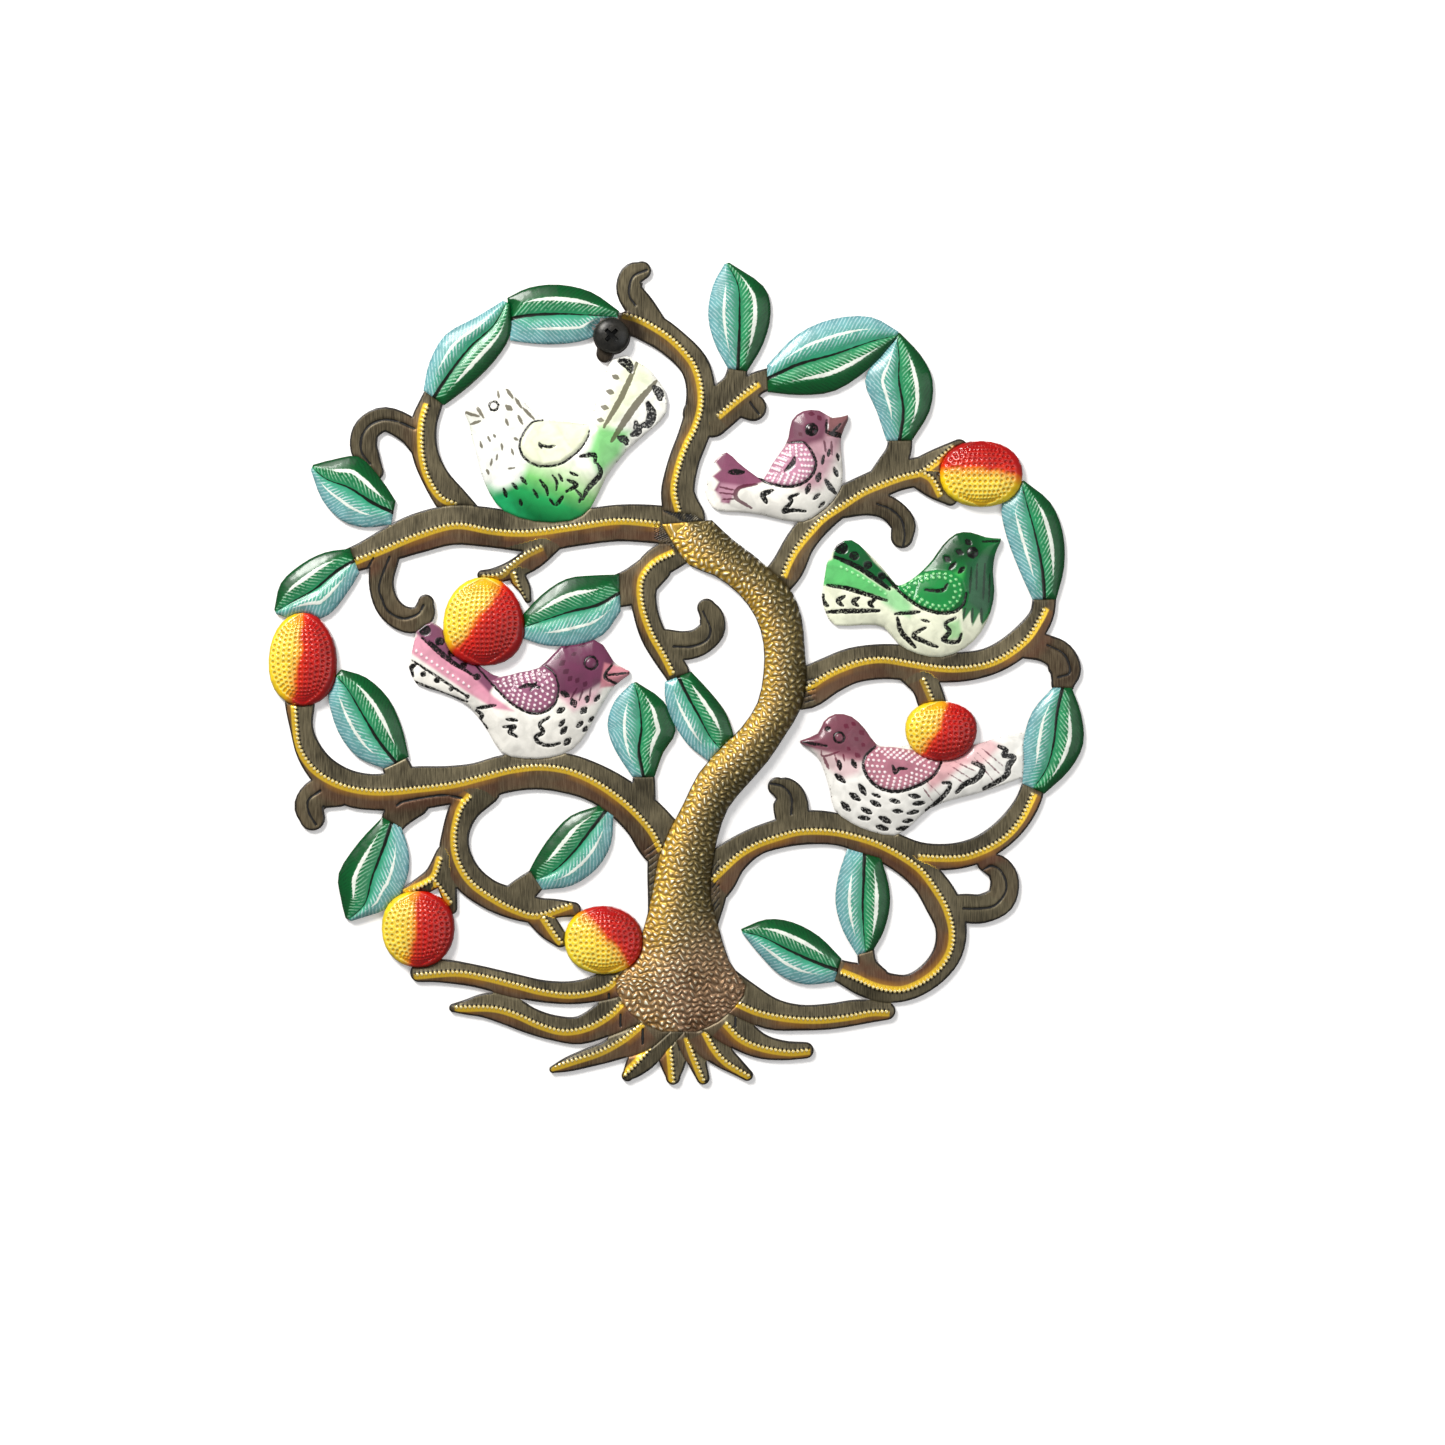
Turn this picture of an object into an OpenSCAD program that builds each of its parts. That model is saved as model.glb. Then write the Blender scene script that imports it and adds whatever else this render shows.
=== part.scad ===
/* [Overall size] */
// Width of the whole tree, across the widest leaves and fruits
tree_w = 277; // [220:1:400]
// Height of the whole tree, from the top curl to the lowest root
tree_h = 280; // [220:1:400]

/* [Sheet] */
// Thickness of the steel sheet
sheet_t = 1.2; // [0.8:0.1:2]
// Width of limbs and roots against the drawing, 1 is as drawn
limb_gain = 1; // [0.9:0.05:1.2]
// How far each limb's thin rags are trimmed off where it meets a neighbour
trim = 0.15; // [0.05:0.05:0.3]

/* [Relief] */
// Height the trunk is raised from behind
trunk_relief = 4.6; // [1:0.1:9]
// Height the leaves are raised
leaf_relief = 2.8; // [1:0.1:6]
// How deep the midrib is set back into a leaf, as a share of its relief
midrib_depth = 0.55; // [0.2:0.05:0.8]
// Height the fruits are raised
fruit_relief = 5; // [1:0.1:9]
// Height the birds are raised
bird_relief = 3.8; // [1:0.1:8]

/* [Hanging screw] */
// Diameter of the shank in the wall, over its thread
shank_d = 4.2; // [3:0.1:6]
// How much thinner, in radius, the plain neck is that the tree turns on
neck_cut = 0.3; // [0.2:0.05:0.5]
// Radial clearance of the sheet's hole around the neck
hole_clear = 0.6; // [0.4:0.05:1]
// Diameter of the round head
head_d = 11.9; // [10:0.1:16]
// Height of the head above its flat underside
head_h = 3.4; // [2.5:0.1:6]
// Gap between the sheet's face and the head
head_clear = 0.3; // [0.3:0.05:1]
// Length of shank that goes into the wall
grip_l = 26; // [15:1:45]
// Width of each arm of the cross recess
recess_w = 1.5; // [1:0.1:2]
// Span of the cross recess
recess_span = 5.4; // [4:0.1:7]
// Depth of the cross recess
recess_depth = 1.8; // [1:0.1:2.2]

/* [Hidden] */
$fn = 48;

// The drawing's own size. Every outline below is drawn in millimetres on a sheet of
// this size, centred on the tree's middle, with x to the right and y up.
drawn_w = 277;
drawn_h = 280;
sx = tree_w / drawn_w;
sy = tree_h / drawn_h;
// Where the screw passes through, on the drawing
hang = [-22, 114.5];
shank_r = shank_d / 2;
neck_r = shank_r - neck_cut;
hole_r = neck_r + hole_clear;
head_r = head_d / 2;
// The flat eye around the hole is a little wider than the head that covers it
eye_r = head_r + 0.4;
// Height that clears any relief, for cutters
tall = trunk_relief + bird_relief + fruit_relief + 10;
// Pieces of a spline between two stations, and facets across a relief
leaf_steps = 3;
body_steps = 2;
leaf_cross = 6;
body_cross = 6;
trunk_cross = 8;
egg_sides = 28;
egg_rings = 4;

steel = "#5b5147";
leaf_green = "#118a4c";
leaf_blue = "#7fb8cf";
fruit_red = "#c21410";
fruit_yellow = "#f2c414";

// ---- Outlines -----------------------------------------------------------------
// Leaves, birds and the trunk are drawn as rungs [left x, left y, right x, right y]
// that run along the shape, so the left ends trace one edge and the right ends the other.

trunk_rungs = [
    [-5, 50.5, 12, 52], [-1, 44, 19, 45.5], [4.5, 36.5, 27, 39.5], [13, 33, 33, 34],
    [21, 27, 39, 28], [26.8, 19, 42.5, 19], [29.5, 10, 43.5, 9], [29.5, 0, 44, -2],
    [27.5, -10, 42, -12.5], [22, -18.5, 37, -21], [15, -25.5, 31, -30],
    [7.5, -34, 24, -38], [2.5, -44, 17.5, -46], [-2, -53, 14, -56],
    [-6, -63, 12, -66], [-8, -74, 11.5, -76], [-11, -86, 14.5, -87],
    [-15, -97, 18, -98], [-20.5, -104.5, 23.5, -106.5], [-18.5, -112, 20.5, -112.5],
    [-12, -118.5, 14, -118.5], [-5, -121.8, 7, -121.8]
];

leaf_top_left_rungs = [
    [-86, 96, -79, 91], [-84, 105.5, -70.5, 97.5], [-78.5, 115, -62, 106],
    [-68, 121, -56.5, 115], [-59, 126.5, -56.3, 125.5]
];
leaf_screw_rungs = [
    [-57.5, 127.5, -56.5, 113], [-50, 131, -49, 112], [-40, 132, -40, 111.8],
    [-29, 129.5, -30, 113.5], [-19.5, 123, -20.5, 119]
];
leaf_top_rungs = [
    [17.5, 103.5, 24, 102.5], [13, 112, 29.5, 112], [10.7, 121.5, 32, 122.5],
    [12.3, 131.5, 29.5, 131.5], [16.3, 139, 17.9, 139.5]
];
leaf_top_right_rungs = [
    [30.7, 104.5, 31, 95.5], [41, 115, 42, 94.5], [53, 120.3, 54, 96],
    [66, 121, 66, 104], [75.5, 116, 74.5, 113.5]
];
leaf_right_upper_rungs = [
    [71.3, 79, 80, 79], [68, 89, 86, 89], [64, 99, 87, 99.5],
    [68, 107, 83, 108], [73.5, 115, 75.8, 115.7]
];
leaf_right_rungs = [
    [121, 25, 129, 25], [116.5, 35, 131.7, 36], [112, 47, 131.3, 47.5],
    [110.5, 57.5, 127, 58], [116, 64.5, 117.9, 65.5]
];
leaf_right_lower_rungs = [
    [134.3, -5, 127.8, -5], [137.5, -14, 121, -13], [138.2, -24, 118, -22.5],
    [133.5, -33, 118, -31], [125, -41, 117.5, -37.5]
];
leaf_left_upper_rungs = [
    [-97, 50.5, -95.5, 58.5], [-106, 49.5, -100.5, 66], [-114, 52, -108, 73.5],
    [-120.5, 59, -117, 72.5], [-124.3, 69, -123.5, 70.8]
];
leaf_left_rungs = [
    [-107.8, 34, -111, 42.3], [-111.5, 28, -119.5, 41], [-118, 20, -127.5, 37],
    [-127, 17.5, -134.5, 30.5], [-136, 20, -136.7, 21.5]
];
leaf_left_lower_rungs = [
    [-99.5, -32.5, -91, -28.5], [-108.5, -28.5, -93.5, -18], [-115, -20, -98, -8.5],
    [-118.3, -9, -105.5, -1.5], [-117.8, -3, -114, 1.3]
];
leaf_mid_left_rungs = [
    [-19, 21, -19.5, 33.5], [-25, 13, -28.5, 33.2], [-34, 9.7, -37.5, 32],
    [-44, 9.3, -46, 26.5], [-53, 12, -54, 18]
];
leaf_mid_rungs = [
    [-15, -35.3, -7.5, -35.3], [-21, -26, -4.5, -27], [-23.5, -17.5, -0.3, -19.5],
    [-21, -9.5, -4.5, -9.5], [-15.3, -3.5, -13.7, -3]
];
leaf_mid_right_rungs = [
    [5, 0.5, -4, -3], [11.5, -6.5, -3.8, -9.5], [16.5, -13, -1, -17],
    [18.7, -18.5, 4, -24.5], [19.6, -22.5, 11, -30]
];
leaf_low_left_rungs = [
    [-93.5, -52.5, -100, -49], [-91, -61, -108, -57.5], [-91.7, -70, -114.8, -68],
    [-97.5, -79.5, -114, -77], [-110.5, -84.3, -112.5, -83.3]
];
leaf_low_mid_rungs = [
    [-21.5, -48.5, -26.5, -45], [-22.3, -58, -36, -48.5], [-27, -66.3, -42.5, -55],
    [-35.5, -72.2, -47, -61.5], [-45.5, -73.7, -50, -67]
];
leaf_low_right_rungs = [
    [53.5, -105, 56, -97], [43.5, -105.8, 48.5, -89.5], [35, -102.5, 39.5, -84.7],
    [28, -95.5, 30.5, -83.7], [22.4, -88.6, 21.9, -87]
];
leaf_low_hanging_rungs = [
    [69.5, -63, 58, -59.7], [72, -71.5, 55, -69], [72.5, -79, 54, -78],
    [70.5, -87.5, 56.5, -87.5], [67, -94, 61.3, -95.8]
];

// Birds run from the beak's tip to the end of the tail
bird_top_left_rungs = [
    [-71.6, 89.5, -72, 88], [-67.5, 93.5, -70.5, 84.5], [-62.5, 97, -69.5, 79.5],
    [-57, 96.5, -68, 74], [-52.5, 93, -66.5, 68], [-48.5, 88.7, -63.5, 61],
    [-44, 86.5, -58.5, 55], [-38, 85.5, -48, 51.5], [-32.5, 84.8, -36, 51.8],
    [-29.5, 85, -29, 56.5], [-28.7, 88, -24, 66.5], [-27.3, 93, -17, 75.5],
    [-25.5, 98.5, -8.5, 83], [-23.5, 103.5, -3.5, 88.5], [-21.5, 106.5, -4, 96],
    [-17, 107.8, -9.5, 103.5]
];
bird_top_mid_rungs = [
    [58.3, 86, 58.3, 87.7], [56, 80.5, 53, 86.7], [56, 75, 48.5, 89.2],
    [56.5, 69, 43, 89], [56, 63.5, 39.2, 85.8], [53, 58.5, 38, 80],
    [48.5, 54.5, 36, 76], [43, 51.5, 32.5, 71], [36, 52, 29.5, 66],
    [29, 53.7, 25.5, 68], [21, 54.7, 21, 71.5], [14, 55.2, 17, 75],
    [10.7, 58.5, 13.3, 72.5], [9.7, 62, 11, 68]
];
bird_right_rungs = [
    [110, 44.3, 110.3, 45.7], [108.3, 40.5, 105, 46.2], [107.5, 34.5, 100, 47.8],
    [108, 28, 95, 47.4], [106.8, 21, 90.5, 43.5], [103.5, 14, 87, 38.5],
    [98, 8.5, 83, 34.3], [90, 5.4, 79, 31.2], [82, 6.5, 75.5, 29.7],
    [75.5, 9.8, 73.5, 31.3], [70.5, 15.5, 69.5, 36.3], [64, 16.4, 64.5, 41.3],
    [54, 16.2, 59.5, 45.2], [50.5, 21, 54.5, 43.5], [49.3, 26, 51, 37]
];
bird_left_rungs = [
    [-16, -0.5, -16, 0.7], [-21, -4.3, -21.5, 4], [-24.5, -9.5, -25, 9.6],
    [-27.5, -14.5, -31, 12], [-31, -21, -37, 10.8], [-35.5, -26, -42, 6.3],
    [-43, -28.7, -47, 1.7], [-52, -29, -53.5, 0.2], [-59.5, -27, -60, -1.3],
    [-64, -20, -64.5, 0.8], [-68.5, -13.5, -68.5, 4], [-73.5, -9.3, -73, 8],
    [-81, -6.2, -78, 13], [-88.5, -3.5, -83, 17.5], [-91, 2, -88.5, 14]
];
bird_low_right_rungs = [
    [42, -23, 42, -23.8], [48, -20.5, 47.5, -28], [50, -16.5, 50, -33],
    [54, -13.9, 52, -39.5], [59.5, -14.8, 53.7, -46.5], [64, -19, 59.5, -51],
    [68, -24.3, 66, -53.8], [74, -24.9, 74, -55.2], [80, -24.5, 80, -51.5],
    [87, -24, 86, -46], [94, -24, 94, -43], [101.5, -24.3, 102, -41],
    [109, -22, 110, -38.3], [119, -19.8, 119, -35]
];

// Fruits: [centre x, centre y, half width, half height, share the top is narrowed]
fruit_left_egg = [-127, 4.7, 11.6, 15.8, 0.08];
fruit_mid_left_egg = [-65.5, 17.5, 13.8, 15.1, 0.1];
fruit_right_upper_egg = [103.5, 67.7, 14.1, 11.3, 0];
fruit_right_egg = [89.9, -19.7, 12.2, 10.2, -0.06];
fruit_low_left_egg = [-87.8, -87, 12.4, 13, -0.04];
fruit_low_mid_egg = [-24.8, -90.7, 13.3, 11.6, 0];

// Limbs and roots are strips along stations [x, y, width], and a node may have several
limb_perch_strips = [
    [[0, 49.5, 11], [-6, 50.5, 13], [-20, 51, 12.5], [-35, 49, 12], [-48, 47, 12],
     [-62, 49.3, 13.5], [-76, 50.3, 13.5], [-88, 47.5, 13.5], [-98, 43.5, 11.5],
     [-106, 40, 9.5], [-113, 37.5, 8]],
    [[-42, 46, 9], [-49, 39, 8], [-56, 35, 6.5], [-62, 33.3, 5], [-66, 33.3, 3.5]],
    [[-52, 38, 6], [-54, 33, 6], [-51.8, 29, 4.5], [-50.5, 25, 2.5]],
    [[-99, 40, 10], [-100.4, 31, 8.5], [-98.5, 23.5, 8.5], [-94, 19, 8.7],
     [-89, 18, 9], [-86, 20.5, 8], [-85.2, 24, 5.5]]
];
limb_arc_strips = [
    [[-70, 52, 10], [-76.3, 58.5, 11], [-82, 66.5, 9.3], [-85.5, 75, 9],
     [-86, 84, 9], [-83.7, 91, 8], [-81.5, 96, 7]],
    [[-86, 76, 8], [-91, 82.5, 9], [-99, 86.2, 8.5], [-105, 83, 9],
     [-106.4, 77.5, 9.3], [-104.8, 72.5, 8.5], [-102.5, 68.5, 6]]
];
limb_top_strips = [
    [[3.6, 49, 13], [2.4, 53, 14.5], [1, 58, 12.4], [0.5, 63, 11.3], [2.5, 72, 10.5], [5.5, 80, 10.5],
     [8, 88, 11], [8.2, 97, 10], [5.8, 105, 10], [-1, 112, 10], [-8.5, 117, 10.5],
     [-16, 118.8, 9], [-22, 114.5, 8], [-24.3, 108.5, 6]],
    [[-8, 117.5, 10], [-12.2, 124, 10], [-16, 130, 9], [-15, 135, 8.5], [-11.8, 136.8, 6.3]],
    [[8, 88, 12], [14.5, 93.5, 9], [19.5, 98.5, 8], [21, 105, 6.5]],
    [[12, 86, 12], [20, 92.5, 11], [27, 98.3, 8], [34, 100.5, 7.5]],
    [[20, 92, 9], [26, 90.2, 9.2]]
];
limb_right_strips = [
    [[33, 30, 11], [37.8, 36, 11.3], [42, 44.3, 10.3], [48, 51.7, 10.2], [56, 58.2, 10],
     [65, 62.5, 10.5], [74, 66.5, 10], [83, 68.6, 10]],
    [[82, 68.5, 9], [89, 72.5, 8], [96, 76.5, 6]],
    [[82, 67.5, 9], [88, 63, 8], [93, 59.3, 5]],
    [[66, 60, 10], [72, 69, 9.7], [75.5, 75.5, 8.7], [76, 82, 8]],
    [[56, 57, 9], [65, 57.8, 8.5], [72, 56, 8.3], [76.8, 51, 8.7], [76.6, 46.2, 7.6]]
];
limb_mid_right_strips = [
    [[38, -4.6, 14], [44, -5, 14.5], [52, -0.8, 12.8], [60, 2.6, 12.2], [70, 3.9, 12],
     [80, 3.3, 12], [90, 2, 10.5], [98, 2.2, 10], [106, 3.9, 9.5], [113, 7.5, 9.6],
     [119.5, 13, 9.5], [124, 19.5, 8.3], [125.2, 27, 8]],
    [[118, 10, 10], [125, 8.5, 9.5], [130, 5.8, 10.5], [132, 1, 11], [131.3, -3.5, 8]],
    [[80, 2, 12], [84.5, -4, 9.8], [86.8, -10, 9.6], [88.5, -14, 8]]
];
limb_low_right_strips = [
    [[4, -76, 16], [12, -70, 16], [18.5, -63, 12], [26, -57.7, 9.8], [34, -54.8, 10],
     [44, -52.5, 11.6], [54, -53, 11], [62, -55.8, 9.8], [70, -59.4, 9.6],
     [78, -64, 10], [85, -70, 11], [90, -77.5, 12], [93.2, -86, 10.8],
     [92.3, -94.5, 10], [87.5, -101.5, 9], [80, -106.4, 8.6], [72, -107, 10.2],
     [64, -104.5, 11], [56, -101.5, 8], [50, -99, 7]],
    [[14, -68, 9], [13.2, -77, 7], [12.5, -85, 3.5]],
    [[68, -104, 9], [65, -99, 6.5], [64.2, -93.5, 5.7]],
    [[72, -58, 9], [82, -61.8, 9], [92, -62.5, 9], [101, -60.7, 9], [108.5, -56.5, 9],
     [114.5, -51, 9], [119, -44.5, 8.5], [121.5, -38, 8]],
    [[92, -80, 9], [98, -80, 10], [104, -80, 10], [110, -77, 10], [111.5, -71, 9.8],
     [109.5, -66.5, 9], [105.5, -64.3, 7]],
    [[39, -52.5, 10], [39, -47, 12], [38.3, -42.5, 11.5], [36.5, -39.8, 9.5],
     [34.2, -38.6, 6.5]]
];
limb_low_left_strips = [
    [[2, -62, 18], [-5, -57, 17], [-11, -49.5, 15], [-19, -42.5, 13.5], [-28, -37.2, 13],
     [-38, -34, 13.5], [-48, -33.5, 12.2], [-58, -34.2, 13], [-68, -37, 13],
     [-78, -38.2, 13.3], [-90, -39.3, 15], [-101, -40.5, 12.5], [-111, -39.2, 12.3],
     [-119.3, -34, 10.5], [-124.7, -27, 9], [-127.4, -19, 7.8], [-128, -11, 10],
     [-128, -4, 10]],
    [[-4, -58, 12], [-6.5, -68, 7], [-7.5, -80, 4.5], [-9, -88, 3]],
    [[-12, -46, 10], [-11.2, -38, 8], [-11.2, -33, 7]],
    [[-93, -38, 11], [-95.3, -31.5, 9.5], [-97, -27, 7]],
    [[-90, -43, 13], [-95, -48.5, 9.8], [-98, -54, 7]],
    [[-115, -39.5, 12], [-121.5, -41, 11], [-124.8, -45, 10.3], [-123.8, -49.2, 8.7]],
    [[-66, -39, 13], [-72, -46, 10.5], [-75, -54, 9.3], [-75.2, -62, 10.8],
     [-71, -69.5, 10.5], [-64, -75, 10], [-56, -78.2, 10.5], [-48, -80.5, 9],
     [-41, -80, 6.5], [-35, -80.3, 5]],
    [[-57, -78, 10], [-51, -73, 9], [-46.5, -69, 7]],
    [[-48, -81, 9], [-43.5, -86.5, 8], [-39.5, -90.5, 5.5]],
    [[-78, -62, 8], [-82, -69, 7.5], [-88, -73, 6], [-93, -75.5, 4.5]],
    [[-77, -64, 9], [-78, -71, 7], [-77, -77, 5], [-76.5, -80, 4]]
];
limb_twig_strips = [
    [[6, 46, 12], [-1, 41, 11], [-8, 36, 10.5], [-11.3, 29, 9.5], [-10.6, 21, 8.6],
     [-8, 13, 8.8], [-4, 6, 8.5], [0.2, 0, 8.6], [1, -5, 7]],
    [[-7, 36, 11], [-14, 30, 12.5], [-21, 27.5, 11]],
    [[-4, 10, 10], [2, 9.3, 10], [7.5, 10.5, 9.5], [11.9, 14.5, 9], [11.9, 19, 8.4],
     [10.2, 22.1, 6.5]]
];
root_far_left_strips = [
    [[-14, -100, 16], [-24, -106, 10], [-34, -108.5, 8], [-45, -108.2, 7.6],
     [-56, -106, 8], [-68, -103, 7.6], [-80, -101.2, 8], [-87.3, -101.8, 6.5]]
];
root_left_strips = [
    [[-16, -112, 16], [-24, -117.5, 12], [-33, -121.4, 9.6], [-42, -120.5, 8.6],
     [-50, -118, 9], [-58, -114.2, 10.4], [-65, -113, 8.5], [-71, -113.5, 5.5],
     [-75.8, -113.8, 3]]
];
root_low_left_strips = [
    [[-6, -116, 14], [-14, -122.5, 14], [-22, -128, 8], [-30, -130.7, 6.5],
     [-37, -133, 5], [-42, -134.7, 2.5]]
];
root_toe_left_strips = [
    [[-2, -118, 12], [-7.5, -124, 12], [-11, -130, 10], [-14.5, -134.3, 7],
     [-16.7, -136.8, 4]]
];
root_toe_mid_strips = [
    [[-1, -118, 12], [-1.5, -126, 11], [-1.3, -132.5, 9], [-1.2, -137.4, 5]]
];
root_toe_right_strips = [
    [[4, -118, 12], [5.5, -126, 9.5], [7, -132, 6.5], [9, -137.6, 4.5]]
];
root_low_right_strips = [
    [[8, -117, 14], [11.5, -125, 12.5], [15.5, -130, 8.5], [20, -133.5, 6],
     [24, -136.6, 4]]
];
root_right_strips = [
    [[12, -114, 16], [20, -121.5, 12], [28, -126.5, 8.8], [36, -128.2, 6.8],
     [43.8, -128.2, 5.6]]
];
root_far_right_strips = [
    [[11, -104, 16], [22, -110.5, 13], [32, -115.7, 11], [42, -117.1, 8.8],
     [52, -116.7, 8.8], [62, -115.2, 8.6], [71.3, -114.8, 6.2]]
];

// ---- Functions ----------------------------------------------------------------

// A point of the smooth curve from b to c, where a and d are the points beyond
function between(a, b, c, d, t) =
    0.5 * (2 * b + (c - a) * t + (2 * a - 5 * b + 4 * c - d) * t * t
           + (3 * b - a - 3 * c + d) * t * t * t);

// A smooth curve through all stations, with steps pieces from one to the next
function smooth(p, steps) =
    let (last = len(p) - 1)
    [for (i = [0 : last - 1], k = [0 : steps - 1])
        between(i == 0 ? 2 * p[0] - p[1] : p[i - 1], p[i], p[i + 1],
                i == last - 1 ? 2 * p[last] - p[last - 1] : p[i + 2], k / steps),
     p[last]];

function at(p) = [p.x * sx, p.y * sy];
function left_end(r) = at([r[0], r[1]]);
function right_end(r) = at([r[2], r[3]]);

// The closed outline of a shape drawn as rungs
function rung_outline(rungs, steps) =
    let (s = smooth(rungs, steps), last = len(s) - 1)
    concat([for (r = s) left_end(r)], [for (i = [last : -1 : 0]) right_end(s[i])]);

// The outline of an egg, a superellipse whose top is narrower or wider than its foot
function egg_point(egg, a) =
    let (c = cos(a), s = sin(a), round_by = 0.92)
    at([egg[0] + egg[2] * sign(c) * pow(abs(c), round_by) * (1 - egg[4] * s),
        egg[1] + egg[3] * sign(s) * pow(abs(s), round_by)]);
function egg_outline(egg) = [for (i = [0 : egg_sides - 1]) egg_point(egg, 360 * i / egg_sides)];

// The height of a relief: v runs along the shape and u across it, both from 0 to 1
function leaf_height(u, v) =
    let (ridge = (u - 0.5) / 0.14)
    leaf_relief * pow(sin(180 * v), 0.55) * pow(sin(180 * u), 0.75)
    * (1 - midrib_depth * exp(-ridge * ridge));
function bird_height(u, v) =
    bird_relief * pow(sin(180 * pow(v, 0.75)), 0.6) * pow(sin(180 * u), 0.7);
function trunk_height(u, v) =
    trunk_relief * min(1, 8 * v, 8 * (1 - v)) * pow(sin(180 * u), 0.7);
function height(kind, u, v) =
    kind == "leaf" ? leaf_height(u, v) : kind == "bird" ? bird_height(u, v) : trunk_height(u, v);

// ---- Shells -------------------------------------------------------------------

// Sheet of even thickness raised from behind, between the rungs' left and right ends
module rung_shell(rungs, kind, steps, cross) {
    s = smooth(rungs, steps);
    rows = len(s) - 1;
    per_row = cross + 1;
    layer = per_row * (rows + 1);
    function raised(i, j) =
        (i == 0 || i == rows || j == 0 || j == cross) ? 0 : height(kind, j / cross, i / rows);
    function flat(i, j) = left_end(s[i]) * (1 - j / cross) + right_end(s[i]) * (j / cross);
    front = [for (i = [0 : rows], j = [0 : cross])
        let (p = flat(i, j)) [p.x, p.y, sheet_t + raised(i, j)]];
    back = [for (p = front) p - [0, 0, sheet_t]];
    quads = [for (i = [0 : rows - 1], j = [0 : cross - 1])
        let (k = i * per_row + j) [k, k + 1, k + per_row + 1, k + per_row]];
    front_faces = [for (q = quads, half = [0, 2]) [q[half], q[half + 1], q[(half + 2) % 4]]];
    back_faces = [for (f = front_faces) [f[2] + layer, f[1] + layer, f[0] + layer]];
    rim = concat([for (j = [0 : cross]) j],
                 [for (i = [1 : rows]) i * per_row + cross],
                 [for (j = [cross - 1 : -1 : 0]) rows * per_row + j],
                 [for (i = [rows - 1 : -1 : 1]) i * per_row]);
    n = len(rim);
    wall_faces = [for (k = [0 : n - 1]) let (a = rim[k], b = rim[(k + 1) % n])
        [b, a, a + layer, b + layer]];
    polyhedron(concat(front, back), concat(front_faces, back_faces, wall_faces));
}

// Sheet of even thickness beaten up into a low egg
module egg_shell(egg) {
    edge = egg_outline(egg);
    centre = at([egg[0], egg[1]]);
    n = egg_sides;
    // Ring 0 is the rim, and the last ring closes on the middle point
    ring = [for (k = [0 : egg_rings - 1], p = edge)
        let (q = k / egg_rings, share = 1 - pow(q, 1.25))
        [centre.x + (p.x - centre.x) * share, centre.y + (p.y - centre.y) * share,
         sheet_t + fruit_relief * sqrt(1 - share * share)]];
    front = concat(ring, [[centre.x, centre.y, sheet_t + fruit_relief]]);
    back = [for (p = front) p - [0, 0, sheet_t]];
    top = n * egg_rings;
    layer = top + 1;
    front_faces = concat(
        [for (k = [0 : egg_rings - 2], i = [0 : n - 1], half = [0, 1])
            let (a = k * n + i, b = k * n + (i + 1) % n)
            half == 0 ? [b, a, a + n] : [b, a + n, b + n]],
        [for (i = [0 : n - 1]) [top - n + (i + 1) % n, top - n + i, top]]);
    back_faces = [for (f = front_faces) [f[2] + layer, f[1] + layer, f[0] + layer]];
    wall_faces = [for (i = [0 : n - 1]) let (b = (i + 1) % n) [i, b, b + layer, i + layer]];
    polyhedron(concat(front, back), concat(front_faces, back_faces, wall_faces));
}

// ---- Flat outlines ------------------------------------------------------------

module leaf_2d(rungs) polygon(rung_outline(rungs, leaf_steps));
module body_2d(rungs) polygon(rung_outline(rungs, body_steps));
module egg_2d(egg) polygon(egg_outline(egg));
module eye_2d() translate(at(hang)) circle(eye_r);

// One strip of even flow along its stations, with round ends, on the drawing
module strip_2d(stations) {
    s = smooth(stations, 4);
    last = len(s) - 1;
    p = [for (q = s) [q.x, q.y]];
    function across(i) =
        let (d = p[min(i + 1, last)] - p[max(i - 1, 0)])
        [-d.y, d.x] / norm(d) * s[i][2] * limb_gain / 2;
    polygon(concat([for (i = [0 : last]) p[i] + across(i)],
                   [for (i = [last : -1 : 0]) p[i] - across(i)]));
    for (i = [0, last]) translate(p[i]) circle(s[i][2] * limb_gain / 2, $fn = 24);
}
// Limbs grow with the drawing, as the raised shapes do, so that they still meet
module strips_2d(strips) scale([sx, sy]) for (stations = strips) strip_2d(stations);

module leaves_2d() {
    for (rungs = [leaf_top_left_rungs, leaf_screw_rungs, leaf_top_rungs, leaf_top_right_rungs,
                  leaf_right_upper_rungs, leaf_right_rungs, leaf_right_lower_rungs,
                  leaf_left_upper_rungs, leaf_left_rungs, leaf_left_lower_rungs,
                  leaf_mid_left_rungs, leaf_mid_rungs, leaf_mid_right_rungs,
                  leaf_low_left_rungs, leaf_low_mid_rungs, leaf_low_right_rungs,
                  leaf_low_hanging_rungs]) leaf_2d(rungs);
}
module fruits_2d() {
    for (egg = [fruit_left_egg, fruit_mid_left_egg, fruit_right_upper_egg, fruit_right_egg,
                fruit_low_left_egg, fruit_low_mid_egg]) egg_2d(egg);
}
module birds_2d() {
    for (rungs = [bird_top_left_rungs, bird_top_mid_rungs, bird_right_rungs, bird_left_rungs,
                  bird_low_right_rungs]) body_2d(rungs);
}
// Everything that limbs and roots run up to
module raised_2d() {
    body_2d(trunk_rungs);
    leaves_2d();
    fruits_2d();
    birds_2d();
}

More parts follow.
